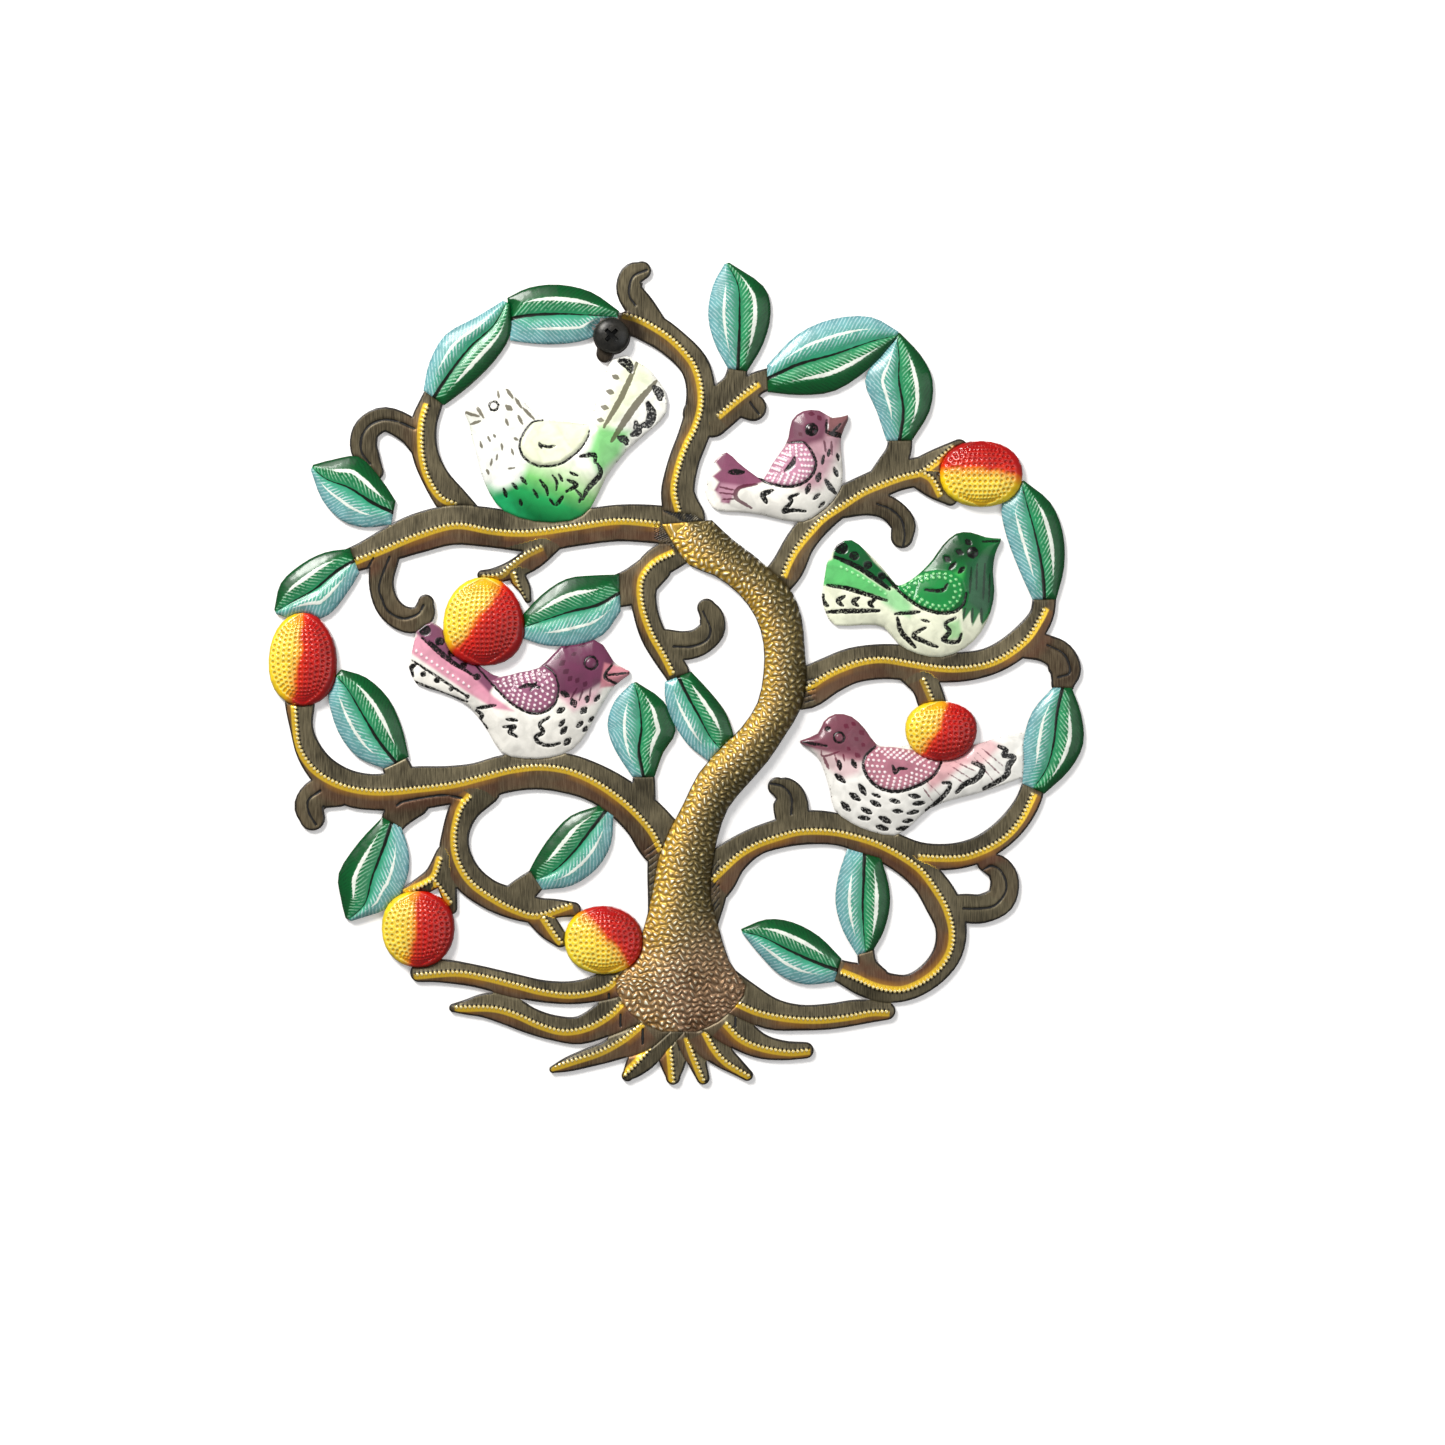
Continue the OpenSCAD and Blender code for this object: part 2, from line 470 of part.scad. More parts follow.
// Flat limbs and roots give way to the raised shapes, and each to the limbs named before it
all_strips = [limb_top_strips, limb_perch_strips, limb_arc_strips, limb_twig_strips,
              limb_right_strips, limb_mid_right_strips, limb_low_right_strips,
              limb_low_left_strips, root_far_right_strips, root_far_left_strips,
              root_left_strips, root_right_strips, root_low_left_strips,
              root_low_right_strips, root_toe_left_strips, root_toe_right_strips,
              root_toe_mid_strips];
module limb(order) {
    sheet() color(steel) linear_extrude(sheet_t)
        offset(delta = trim) offset(delta = -trim) difference() {
            strips_2d(all_strips[order]);
            raised_2d();
            eye_2d();
            for (k = [0 : 1 : order - 1]) strips_2d(all_strips[k]);
        }
}

// ---- Placing ------------------------------------------------------------------

// Stands the drawing upright against the wall plane y = 0, with the screw's axis at the origin
module sheet() translate([-hang.x * sx, 0, -hang.y * sy]) rotate([90, 0, 0]) children();

// Cutter as tall as any relief
module through() translate([0, 0, -1]) linear_extrude(tall) children();

module leaf(rungs, tint = leaf_green) {
    sheet() color(tint) difference() {
        rung_shell(rungs, "leaf", leaf_steps, leaf_cross);
        if ($children > 0) through() children();
    }
}
module fruit(egg, tint = fruit_red) sheet() color(tint) egg_shell(egg);
module bird(rungs, tint) {
    sheet() color(tint) difference() {
        rung_shell(rungs, "bird", body_steps, body_cross);
        if ($children > 0) through() children();
    }
}

// ---- Pieces -------------------------------------------------------------------

module trunk() sheet() color("#7a6248") difference() {
    rung_shell(trunk_rungs, "trunk", body_steps, trunk_cross);
    through() egg_2d(fruit_low_mid_egg);
}

// The top limb ends in a flat eye with the round hole that hangs on the screw
module limb_top() sheet() color(steel) difference() {
    linear_extrude(sheet_t) offset(delta = trim) offset(delta = -trim) union() {
        difference() {
            strips_2d(limb_top_strips);
            raised_2d();
        }
        eye_2d();
    }
    translate([hang.x * sx, hang.y * sy, -1]) cylinder(r = hole_r, h = sheet_t + 2);
}
module limb_perch() limb(1);
module limb_arc() limb(2);
module limb_twig() limb(3);
module limb_right() limb(4);
module limb_mid_right() limb(5);
module limb_low_right() limb(6);
module limb_low_left() limb(7);
module root_far_right() limb(8);
module root_far_left() limb(9);
module root_left() limb(10);
module root_right() limb(11);
module root_low_left() limb(12);
module root_low_right() limb(13);
module root_toe_left() limb(14);
module root_toe_right() limb(15);
module root_toe_mid() limb(16);

module leaf_top_left() leaf(leaf_top_left_rungs);
module leaf_screw() leaf(leaf_screw_rungs) { leaf_2d(leaf_top_left_rungs); eye_2d(); }
module leaf_top() leaf(leaf_top_rungs);
module leaf_top_right() leaf(leaf_top_right_rungs, leaf_blue);
module leaf_right_upper() leaf(leaf_right_upper_rungs) leaf_2d(leaf_top_right_rungs);
module leaf_right() leaf(leaf_right_rungs, leaf_blue) egg_2d(fruit_right_upper_egg);
module leaf_right_lower() leaf(leaf_right_lower_rungs);
module leaf_left_upper() leaf(leaf_left_upper_rungs);
module leaf_left() leaf(leaf_left_rungs, leaf_blue) egg_2d(fruit_left_egg);
module leaf_left_lower() leaf(leaf_left_lower_rungs) egg_2d(fruit_left_egg);
module leaf_mid_left() leaf(leaf_mid_left_rungs, leaf_blue) egg_2d(fruit_mid_left_egg);
module leaf_mid() leaf(leaf_mid_rungs) leaf_2d(leaf_mid_right_rungs);
module leaf_mid_right() leaf(leaf_mid_right_rungs, leaf_blue) body_2d(trunk_rungs);
module leaf_low_left() leaf(leaf_low_left_rungs) egg_2d(fruit_low_left_egg);
module leaf_low_mid() leaf(leaf_low_mid_rungs, leaf_blue);
module leaf_low_right() leaf(leaf_low_right_rungs);
module leaf_low_hanging() leaf(leaf_low_hanging_rungs, leaf_blue);

module fruit_left() fruit(fruit_left_egg);
module fruit_mid_left() fruit(fruit_mid_left_egg);
module fruit_right_upper() fruit(fruit_right_upper_egg, fruit_yellow);
module fruit_right() fruit(fruit_right_egg, fruit_yellow);
module fruit_low_left() fruit(fruit_low_left_egg);
module fruit_low_mid() fruit(fruit_low_mid_egg, fruit_yellow);

module bird_top_left() bird(bird_top_left_rungs, "#dfe9c8") eye_2d();
module bird_top_mid() bird(bird_top_mid_rungs, "#a8708c");
module bird_right() bird(bird_right_rungs, "#1f7a3c");
module bird_left() bird(bird_left_rungs, "#83506b") {
    egg_2d(fruit_mid_left_egg);
    leaf_2d(leaf_mid_left_rungs);
}
module bird_low_right() bird(bird_low_right_rungs, "#c79aa6") {
    egg_2d(fruit_right_egg);
    leaf_2d(leaf_right_lower_rungs);
}

// Round-head wood screw with a cross recess. Its shank passes through the eye into the wall.
module wall_screw() color("#1c1c1e") {
    head_y = sheet_t + head_clear;
    tip_l = shank_d;
    tip_r = 0.3;
    difference() {
        rotate([90, 0, 0]) translate([0, 0, head_y]) {
            rotate_extrude() intersection() {
                translate([0, head_h * 0.3]) scale([head_r, head_h * 0.7]) circle(1, $fn = 64);
                square([head_r, head_h]);
            }
            cylinder(r = head_r, h = head_h * 0.3);
        }
        for (a = [0, 90]) rotate([0, 45 + a, 0])
            translate([-recess_span / 2, -head_y - head_h - 1, -recess_w / 2])
                cube([recess_span, recess_depth + 1, recess_w]);
    }
    // The neck runs on a little way into the head and into the shank
    bite = 0.5;
    rotate([90, 0, 0]) translate([0, 0, -bite]) cylinder(r = neck_r, h = head_y + 2 * bite);
    rotate([-90, 0, 0]) cylinder(r = shank_r, h = grip_l);
    translate([0, grip_l, 0]) rotate([-90, 0, 0]) cylinder(r1 = shank_r, r2 = tip_r, h = tip_l);
}

trunk();
limb_perch();
limb_arc();
limb_top();
limb_right();
limb_mid_right();
limb_low_right();
limb_low_left();
limb_twig();
root_far_left();
root_left();
root_low_left();
root_toe_left();
root_toe_mid();
root_toe_right();
root_low_right();
root_right();
root_far_right();
leaf_top_left();
leaf_screw();
leaf_top();
leaf_top_right();
leaf_right_upper();
leaf_right();
leaf_right_lower();
leaf_left_upper();
leaf_left();
leaf_left_lower();
leaf_mid_left();
leaf_mid();
leaf_mid_right();
leaf_low_left();
leaf_low_mid();
leaf_low_right();
leaf_low_hanging();
fruit_left();
fruit_mid_left();
fruit_right_upper();
fruit_right();
fruit_low_left();
fruit_low_mid();
bird_top_left();
bird_top_mid();
bird_right();
bird_left();
bird_low_right();
wall_screw();
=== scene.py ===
# Painted steel tree of life, cut from drum steel, raised from behind and painted by hand
import bpy
import math
import numpy as np
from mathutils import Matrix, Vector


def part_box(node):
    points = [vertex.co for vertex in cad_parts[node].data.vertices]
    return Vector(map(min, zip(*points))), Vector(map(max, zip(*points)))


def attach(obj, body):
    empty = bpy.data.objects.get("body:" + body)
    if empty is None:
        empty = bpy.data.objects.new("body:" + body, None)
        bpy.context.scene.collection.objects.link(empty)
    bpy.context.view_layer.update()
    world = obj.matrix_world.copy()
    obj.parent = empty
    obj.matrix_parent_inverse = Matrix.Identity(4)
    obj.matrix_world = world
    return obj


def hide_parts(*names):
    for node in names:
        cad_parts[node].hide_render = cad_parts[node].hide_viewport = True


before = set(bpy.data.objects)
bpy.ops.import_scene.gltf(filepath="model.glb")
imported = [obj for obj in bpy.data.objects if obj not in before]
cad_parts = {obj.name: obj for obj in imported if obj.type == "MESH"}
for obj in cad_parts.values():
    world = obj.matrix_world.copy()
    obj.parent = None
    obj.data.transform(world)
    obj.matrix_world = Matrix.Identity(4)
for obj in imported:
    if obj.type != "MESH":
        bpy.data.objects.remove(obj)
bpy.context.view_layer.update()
print("frame loaded")

mm = 0.001
hang = np.array([-22.0, 114.5])  # the screw's place on the drawing, in mm
sheet = dict(thick=1.2, cell=0.42, fineCell=0.33, rimRound=0.3)


# Picking, cutting and measuring

def pickOnly(piece):
    bpy.ops.object.select_all(action="DESELECT")
    piece.select_set(True)
    bpy.context.view_layer.objects.active = piece


def applyModifier(piece, kind, **settings):
    pickOnly(piece)
    modifier = piece.modifiers.new(kind.lower(), kind)
    for key, value in settings.items():
        setattr(modifier, key, value)
    bpy.ops.object.modifier_apply(modifier=modifier.name)


def pointsOf(mesh):
    flat = np.zeros(len(mesh.vertices) * 3)
    mesh.vertices.foreach_get("co", flat)
    return flat.reshape(-1, 3)


def setPoints(mesh, points):
    mesh.vertices.foreach_set("co", points.astype(np.float32).ravel())
    mesh.update()


def onDrawing(points):
    return points[:, [0, 2]] / mm + hang


# A straight-walled copy of a node's outline, and the segments of that outline
def straightCutter(name):
    cutter = bpy.data.objects.new(name + "Cutter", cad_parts[name].data.copy())
    bpy.context.scene.collection.objects.link(cutter)
    pickOnly(cutter)
    bpy.ops.object.mode_set(mode="EDIT")
    bpy.ops.mesh.select_all(action="SELECT")
    bpy.ops.mesh.remove_doubles(threshold=0.002 * mm)
    bpy.ops.object.mode_set(mode="OBJECT")
    mesh = cutter.data
    corners = np.zeros(len(mesh.loops), int)
    mesh.loops.foreach_get("vertex_index", corners)
    normals = np.zeros(len(mesh.polygons) * 3)
    mesh.polygons.foreach_get("normal", normals)
    triangles, facing = corners.reshape(-1, 3), normals.reshape(-1, 3)[:, 1]
    points = pointsOf(mesh)
    side = np.where(points[:, 1] < -sheet["thick"] * mm / 2, -1, 1)
    side[triangles[facing > 0.002].ravel()] = 1
    side[triangles[facing < -0.002].ravel()] = -1
    drawing = onDrawing(points)
    walls = triangles[np.abs(facing) <= 0.002]
    edges = np.concatenate([walls[:, [0, 1]], walls[:, [1, 2]], walls[:, [2, 0]]])
    edges = edges[(side[edges[:, 0]] < 0) & (side[edges[:, 1]] < 0)]
    rim = np.stack([drawing[edges[:, 0]], drawing[edges[:, 1]]], 1)
    rim = rim[np.linalg.norm(rim[:, 0] - rim[:, 1], axis=1) > 0.01]
    points[:, 1] = side * 0.02
    setPoints(mesh, points)
    return cutter, rim


# Distance from each point to the nearest of many loose segments
def nearRim(points, rim):
    if not len(rim):
        return np.full(len(points), 99.0)
    start, run = rim[:, 0], rim[:, 1] - rim[:, 0]
    length2 = (run ** 2).sum(1)
    nearest = np.empty(len(points))
    step = max(1, 3000000 // len(rim))
    for k in range(0, len(points), step):
        dx = points[k:k + step, None, 0] - start[None, :, 0]
        dz = points[k:k + step, None, 1] - start[None, :, 1]
        share = np.clip((dx * run[:, 0] + dz * run[:, 1]) / length2, 0, 1)
        nearest[k:k + step] = np.sqrt(((dx - share * run[:, 0]) ** 2
                                       + (dz - share * run[:, 1]) ** 2).min(1))
    return nearest


# A smooth curve through given points
def smoothLine(line, steps=6):
    p = np.array(line, float)
    p = np.vstack([2 * p[0] - p[1], p, 2 * p[-1] - p[-2]])
    t = np.arange(steps)[:, None] / steps
    out = []
    for a, b, c, d in zip(p, p[1:], p[2:], p[3:]):
        out.append(0.5 * (2 * b + (c - a) * t + (2 * a - 5 * b + 4 * c - d) * t ** 2
                          + (3 * b - a - 3 * c + d) * t ** 3))
    return np.vstack(out + [p[-2:-1]])


# Place of each point along and across a line, and 1 between the line's ends
def alongLine(points, line):
    start, run = line[:-1], line[1:] - line[:-1]
    length = np.linalg.norm(run, axis=1)
    before = np.concatenate([[0], np.cumsum(length)[:-1]])
    along, across = np.empty(len(points)), np.empty(len(points))
    inside = np.empty(len(points))
    step = max(1, 3000000 // len(start))
    for k in range(0, len(points), step):
        p = points[k:k + step]
        d = p[:, None] - start
        free = (d * run).sum(2) / length ** 2
        share = np.clip(free, 0, 1)
        gap = d - share[:, :, None] * run
        i = (gap ** 2).sum(2).argmin(1)
        j = np.arange(len(p))
        g, r = gap[j, i], run[i]
        side = np.sign(r[:, 0] * d[j, i, 1] - r[:, 1] * d[j, i, 0])
        along[k:k + step] = before[i] + share[j, i] * length[i]
        across[k:k + step] = np.linalg.norm(g, axis=1) * np.where(side == 0, 1, side)
        past = np.where(i == 0, -free[j, i] * length[i], 0)
        past = np.where(i == len(start) - 1, np.maximum(past, (free[j, i] - 1) * length[i]), past)
        inside[k:k + step] = np.clip(1 - past / 0.5, 0, 1)
    return along, across, inside


def soften(value, low, high):
    t = np.clip((value - low) / (high - low), 0, 1)
    return t * t * (3 - 2 * t)


cutters, rims = {}, {}
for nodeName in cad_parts:
    if nodeName != "wall_screw":
        cutters[nodeName], rims[nodeName] = straightCutter(nodeName)


# The part of an outline that no other piece touches
def freeRim(name, reach=0.35):
    rim = rims[name]
    middle = rim.mean(1)
    gap = np.full(len(rim), 99.0)
    low, high = rim.min((0, 1)) - 1, rim.max((0, 1)) + 1
    for other, segments in rims.items():
        if other == name:
            continue
        close = ((segments.max(1) > low) & (segments.min(1) < high)).all(1)
        if close.any():
            gap = np.minimum(gap, nearRim(middle, segments[close]))
    return rim[gap > reach]


print("outlines measured")


# A flat blank of sheet, cut along the node's outline
def cutBlank(name, cell):
    low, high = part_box(name)
    width, height = high.x - low.x + 3 * mm, high.z - low.z + 3 * mm
    bpy.ops.object.select_all(action="DESELECT")
    bpy.ops.mesh.primitive_grid_add(
        x_subdivisions=round(width / mm / cell), y_subdivisions=round(height / mm / cell), size=1,
        location=((low.x + high.x) / 2, -sheet["thick"] * mm, (low.z + high.z) / 2),
        rotation=(math.pi / 2, 0, 0))
    blank = bpy.context.object
    blank.name = "Painted_" + name
    blank.scale = (width, height, 1)
    bpy.ops.object.transform_apply(location=True, rotation=True, scale=True)
    applyModifier(blank, "SOLIDIFY", thickness=sheet["thick"] * mm, offset=-1)
    applyModifier(blank, "BOOLEAN", operation="INTERSECT", object=cutters[name], solver="MANIFOLD")
    return blank


def note(mesh, name, values):
    kind = {1: "FLOAT", 3: "FLOAT_VECTOR", 4: "FLOAT_COLOR"}[1 if values.ndim == 1 else values.shape[1]]
    layer = mesh.attributes.new(name, kind, "POINT")
    key = {"FLOAT": "value", "FLOAT_VECTOR": "vector", "FLOAT_COLOR": "color"}[kind]
    layer.data.foreach_set(key, values.astype(np.float32).ravel())


# Raises a blank by shape(points, rim distance), which returns the height and the notes for paint
def raiseSheet(name, shape, material, cell):
    piece = cutBlank(name, cell)
    mesh = piece.data
    points = pointsOf(mesh)
    front = points[:, 1] < -sheet["thick"] * mm / 2
    drawing, where = np.unique(np.round(onDrawing(points), 3), axis=0, return_inverse=True)
    where = where.ravel()
    rim = nearRim(drawing, rims[name])
    height, notes = shape(drawing, rim)
    height = height * soften(np.hypot(*(drawing - hang).T), 6.3, 9)
    lip = sheet["rimRound"] * np.clip(1 - rim / 0.6, 0, 1) ** 2
    y = -height[where] - np.where(front, sheet["thick"] - lip[where], 0)
    points[:, 1] = y * mm
    setPoints(mesh, points)
    note(mesh, "front", front.astype(float))
    for key, values in notes.items():
        note(mesh, key, values[where])
    pickOnly(piece)
    bpy.ops.object.shade_smooth_by_angle(angle=math.radians(40))
    mesh.materials.clear()
    mesh.materials.append(material)
    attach(piece, "tree")
    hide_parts(name)
    return piece


# Shader building

def paint(red, green, blue):
    def linear(c):
        c /= 255
        return c / 12.92 if c <= 0.04045 else ((c + 0.055) / 1.055) ** 2.4
    return (linear(red), linear(green), linear(blue), 1.0)


def put(tree, kind, **settings):
    node = tree.nodes.new(kind)
    for key, value in settings.items():
        setattr(node, key, value)
    return node


def feed(tree, socket, value):
    if isinstance(value, bpy.types.NodeSocket):
        tree.links.new(value, socket)
    else:
        socket.default_value = value


def calc(tree, operation, *values):
    node = put(tree, "ShaderNodeMath", operation=operation)
    for socket, value in zip(node.inputs, values):
        feed(tree, socket, value)
    return node.outputs[0]


def lay(tree, amount, under, over, mode="MIX"):
    node = put(tree, "ShaderNodeMix", data_type="RGBA", blend_type=mode)
    for index, value in ((0, amount), (6, under), (7, over)):
        feed(tree, node.inputs[index], value)
    return node.outputs[2]


def span(tree, value, low, high, toLow=0.0, toHigh=1.0):
    node = put(tree, "ShaderNodeMapRange", interpolation_type="SMOOTHSTEP")
    for index, item in enumerate((value, low, high, toLow, toHigh)):
        feed(tree, node.inputs[index], item)
    return node.outputs[0]


def tones(tree, value, stops):
    node = put(tree, "ShaderNodeValToRGB")
    feed(tree, node.inputs[0], value)
    points = node.color_ramp.elements
    while len(points) < len(stops):
        points.new(0.5)
    for point, (place, colour) in zip(points, stops):
        point.position, point.color = place, colour
    return node.outputs[0]


def noise(tree, vector, scale, stretch=(1, 1, 1), detail=3.0, distortion=0.0):
    mapping = put(tree, "ShaderNodeMapping")
    feed(tree, mapping.inputs["Vector"], vector)
    mapping.inputs["Scale"].default_value = stretch
    node = put(tree, "ShaderNodeTexNoise")
    feed(tree, node.inputs["Vector"], mapping.outputs[0])
    feed(tree, node.inputs["Scale"], scale)
    node.inputs["Detail"].default_value = detail
    node.inputs["Distortion"].default_value = distortion
    return node.outputs[0]


def noted(tree, name, output="Fac"):
    return put(tree, "ShaderNodeAttribute", attribute_name=name).outputs[output]


def split(tree, vector):
    node = put(tree, "ShaderNodeSeparateXYZ")
    feed(tree, node.inputs[0], vector)
    return node.outputs


def makeGroup(name, inputs, outputs):
    tree = bpy.data.node_groups.new(name, "ShaderNodeTree")
    for label, kind, value in inputs:
        socket = tree.interface.new_socket(label, in_out="INPUT", socket_type="NodeSocket" + kind)
        if kind != "Vector":
            socket.default_value = value
    for label, kind in outputs:
        tree.interface.new_socket(label, in_out="OUTPUT", socket_type="NodeSocket" + kind)
    return tree, put(tree, "NodeGroupInput").outputs, put(tree, "NodeGroupOutput").inputs


def useGroup(tree, group, **values):
    node = put(tree, "ShaderNodeGroup", node_tree=group)
    for key, value in values.items():
        feed(tree, node.inputs[key], value)
    return node.outputs


def newMaterial(name, **constants):
    material = bpy.data.materials.new(name)
    material.use_nodes = True
    tree = material.node_tree
    shader = next(n for n in tree.nodes if n.type == "BSDF_PRINCIPLED")
    for key, value in constants.items():
        shader.inputs[key].default_value = value
    place = put(tree, "ShaderNodeTexCoord").outputs["Object"]
    return material, tree, shader, place


def finishMaterial(tree, shader, colour, roughness, metallic, height, depth):
    feed(tree, shader.inputs["Base Color"], colour)
    feed(tree, shader.inputs["Roughness"], roughness)
    feed(tree, shader.inputs["Metallic"], metallic)
    bump = put(tree, "ShaderNodeBump")
    bump.inputs["Strength"].default_value = 1.0
    bump.inputs["Distance"].default_value = depth
    feed(tree, bump.inputs["Height"], height)
    feed(tree, shader.inputs["Normal"], bump.outputs[0])


def makeBrushedSteel():
    tree, given, made = makeGroup(
        "brushedSteel",
        [("Vector", "Vector", None), ("Dark", "Color", paint(44, 39, 25)),
         ("Light", "Color", paint(122, 112, 86))],
        [("Colour", "Color"), ("Roughness", "Float"), ("Height", "Float")])
    streak = noise(tree, given["Vector"], 1.0, (3600, 80, 200), 4.0)
    cloud = noise(tree, given["Vector"], 60.0, (1, 1, 1), 3.0, 0.4)
    both = calc(tree, "ADD", calc(tree, "MULTIPLY", streak, 0.5), calc(tree, "MULTIPLY", cloud, 0.5))
    colour = lay(tree, span(tree, both, 0.3, 0.72), given["Dark"], given["Light"])
    feed(tree, made["Colour"], colour)
    feed(tree, made["Roughness"], span(tree, streak, 0.3, 0.7, 0.34, 0.52))
    feed(tree, made["Height"], streak)
    return tree


def makeBeadRow():
    tree, given, made = makeGroup(
        "beadRow",
        [("Along", "Float", 0.0), ("Across", "Float", 0.0), ("Inside", "Float", 1.0),
         ("Pitch", "Float", 1.8), ("Band", "Float", 1.9)],
        [("Bead", "Float"), ("Gold", "Float"), ("Tick", "Float"), ("Height", "Float")])
    wave = calc(tree, "COSINE", calc(tree, "MULTIPLY", calc(tree, "DIVIDE", given["Along"],
                                                              given["Pitch"]), math.tau))
    across = calc(tree, "ABSOLUTE", given["Across"])
    dome = calc(tree, "SUBTRACT", calc(tree, "ADD", calc(tree, "MULTIPLY", wave, 0.34), 0.36), across)
    bead = calc(tree, "MULTIPLY", span(tree, dome, -0.05, 0.2), given["Inside"])
    gold = calc(tree, "MULTIPLY", span(tree, given["Across"], -0.6, -0.3),
                span(tree, given["Across"], given["Band"], calc(tree, "SUBTRACT", given["Band"], 0.6)))
    tick = calc(tree, "MULTIPLY", span(tree, wave, -0.1, -0.7),
                calc(tree, "MULTIPLY", span(tree, given["Across"], -1.25, -0.85),
                     span(tree, given["Across"], 0.15, -0.2)))
    feed(tree, made["Bead"], bead)
    feed(tree, made["Gold"], calc(tree, "MULTIPLY", gold, given["Inside"]))
    feed(tree, made["Tick"], calc(tree, "MULTIPLY", tick, given["Inside"]))
    feed(tree, made["Height"], bead)
    return tree


def makeChiselLine():
    tree, given, made = makeGroup(
        "chiselLine",
        [("Vector", "Vector", None), ("Distance", "Float", 9.0), ("Width", "Float", 0.5),
         ("Wobble", "Float", 0.3)],
        [("Mask", "Float")])
    waver = calc(tree, "MULTIPLY", calc(tree, "SUBTRACT", noise(tree, given["Vector"], 500.0), 0.5),
                 given["Wobble"])
    distance = calc(tree, "ADD", given["Distance"], calc(tree, "MULTIPLY", waver, 2.0))
    feed(tree, made["Mask"], span(tree, distance, given["Width"],
                                  calc(tree, "SUBTRACT", given["Width"], 0.25)))
    return tree


def makeBrushHatch():
    tree, given, made = makeGroup(
        "brushHatch",
        [("Vector", "Vector", None), ("Along", "Float", 0.0), ("Across", "Float", 0.0),
         ("Slant", "Float", 0.8), ("Pitch", "Float", 0.9)],
        [("Mask", "Float")])
    waver = noise(tree, given["Vector"], 350.0, (1, 1, 1), 2.0)
    run = calc(tree, "ADD", given["Along"], calc(tree, "MULTIPLY", given["Across"], given["Slant"]))
    run = calc(tree, "ADD", run, calc(tree, "MULTIPLY", waver, 0.9))
    wave = calc(tree, "SINE", calc(tree, "MULTIPLY", calc(tree, "DIVIDE", run, given["Pitch"]), math.tau))
    thin = noise(tree, given["Vector"], 900.0, (1, 1, 1), 2.0)
    feed(tree, made["Mask"], calc(tree, "MULTIPLY", span(tree, wave, 0.1, 0.7),
                                  span(tree, thin, 0.34, 0.5)))
    return tree


def makeScaleRows():
    tree, given, made = makeGroup(
        "scaleRows",
        [("Along", "Float", 0.0), ("Across", "Float", 0.0), ("Pitch", "Float", 2.7),
         ("Width", "Float", 3.3)],
        [("Dome", "Float"), ("ScaleShade", "Float")])
    row = calc(tree, "DIVIDE", given["Along"], given["Pitch"])
    odd = calc(tree, "MULTIPLY", calc(tree, "FLOORED_MODULO", calc(tree, "FLOOR", row), 2.0), 0.5)
    a = calc(tree, "MULTIPLY", calc(tree, "SUBTRACT", calc(tree, "FRACT", row), 0.5), 2.0)
    column = calc(tree, "ADD", calc(tree, "DIVIDE", given["Across"], given["Width"]), odd)
    b = calc(tree, "MULTIPLY", calc(tree, "SUBTRACT", calc(tree, "FRACT", column), 0.5), 2.0)
    far = calc(tree, "SQRT", calc(tree, "ADD", calc(tree, "MULTIPLY", a, a), calc(tree, "MULTIPLY", b, b)))
    low = calc(tree, "SQRT", calc(tree, "ADD", calc(tree, "POWER", calc(tree, "ADD", a, 0.5), 2.0),
                                  calc(tree, "MULTIPLY", b, b)))
    feed(tree, made["Dome"], span(tree, far, 1.05, 0.15))
    # The second output marks the lower edge of each scale, for painted shade
    feed(tree, made["ScaleShade"], calc(tree, "MULTIPLY", span(tree, far, 0.75, 0.95), span(tree, low, 0.75, 1.1)))
    return tree


def makePaintWear():
    tree, given, made = makeGroup(
        "paintWear",
        [("Vector", "Vector", None), ("Colour", "Color", paint(128, 128, 128)), ("Rim", "Float", 9.0)],
        [("Colour", "Color"), ("Roughness", "Float"), ("Height", "Float")])
    cloud = noise(tree, given["Vector"], 220.0, (1, 1, 1), 3.0, 0.6)
    stroke = noise(tree, given["Vector"], 1.0, (900, 200, 300), 3.0)
    shade = lay(tree, span(tree, cloud, 0.35, 0.7, 0.0, 0.22), given["Colour"], paint(20, 24, 18),
                "MULTIPLY")
    chip = calc(tree, "MULTIPLY", span(tree, noise(tree, given["Vector"], 1400.0), 0.6, 0.7),
                span(tree, given["Rim"], 0.9, 0.1))
    feed(tree, made["Colour"], lay(tree, chip, shade, paint(60, 48, 38)))
    feed(tree, made["Roughness"], span(tree, cloud, 0.3, 0.7, 0.2, 0.36))
    feed(tree, made["Height"], calc(tree, "ADD", calc(tree, "MULTIPLY", stroke, 0.5),
                                    calc(tree, "MULTIPLY", cloud, 0.5)))
    return tree


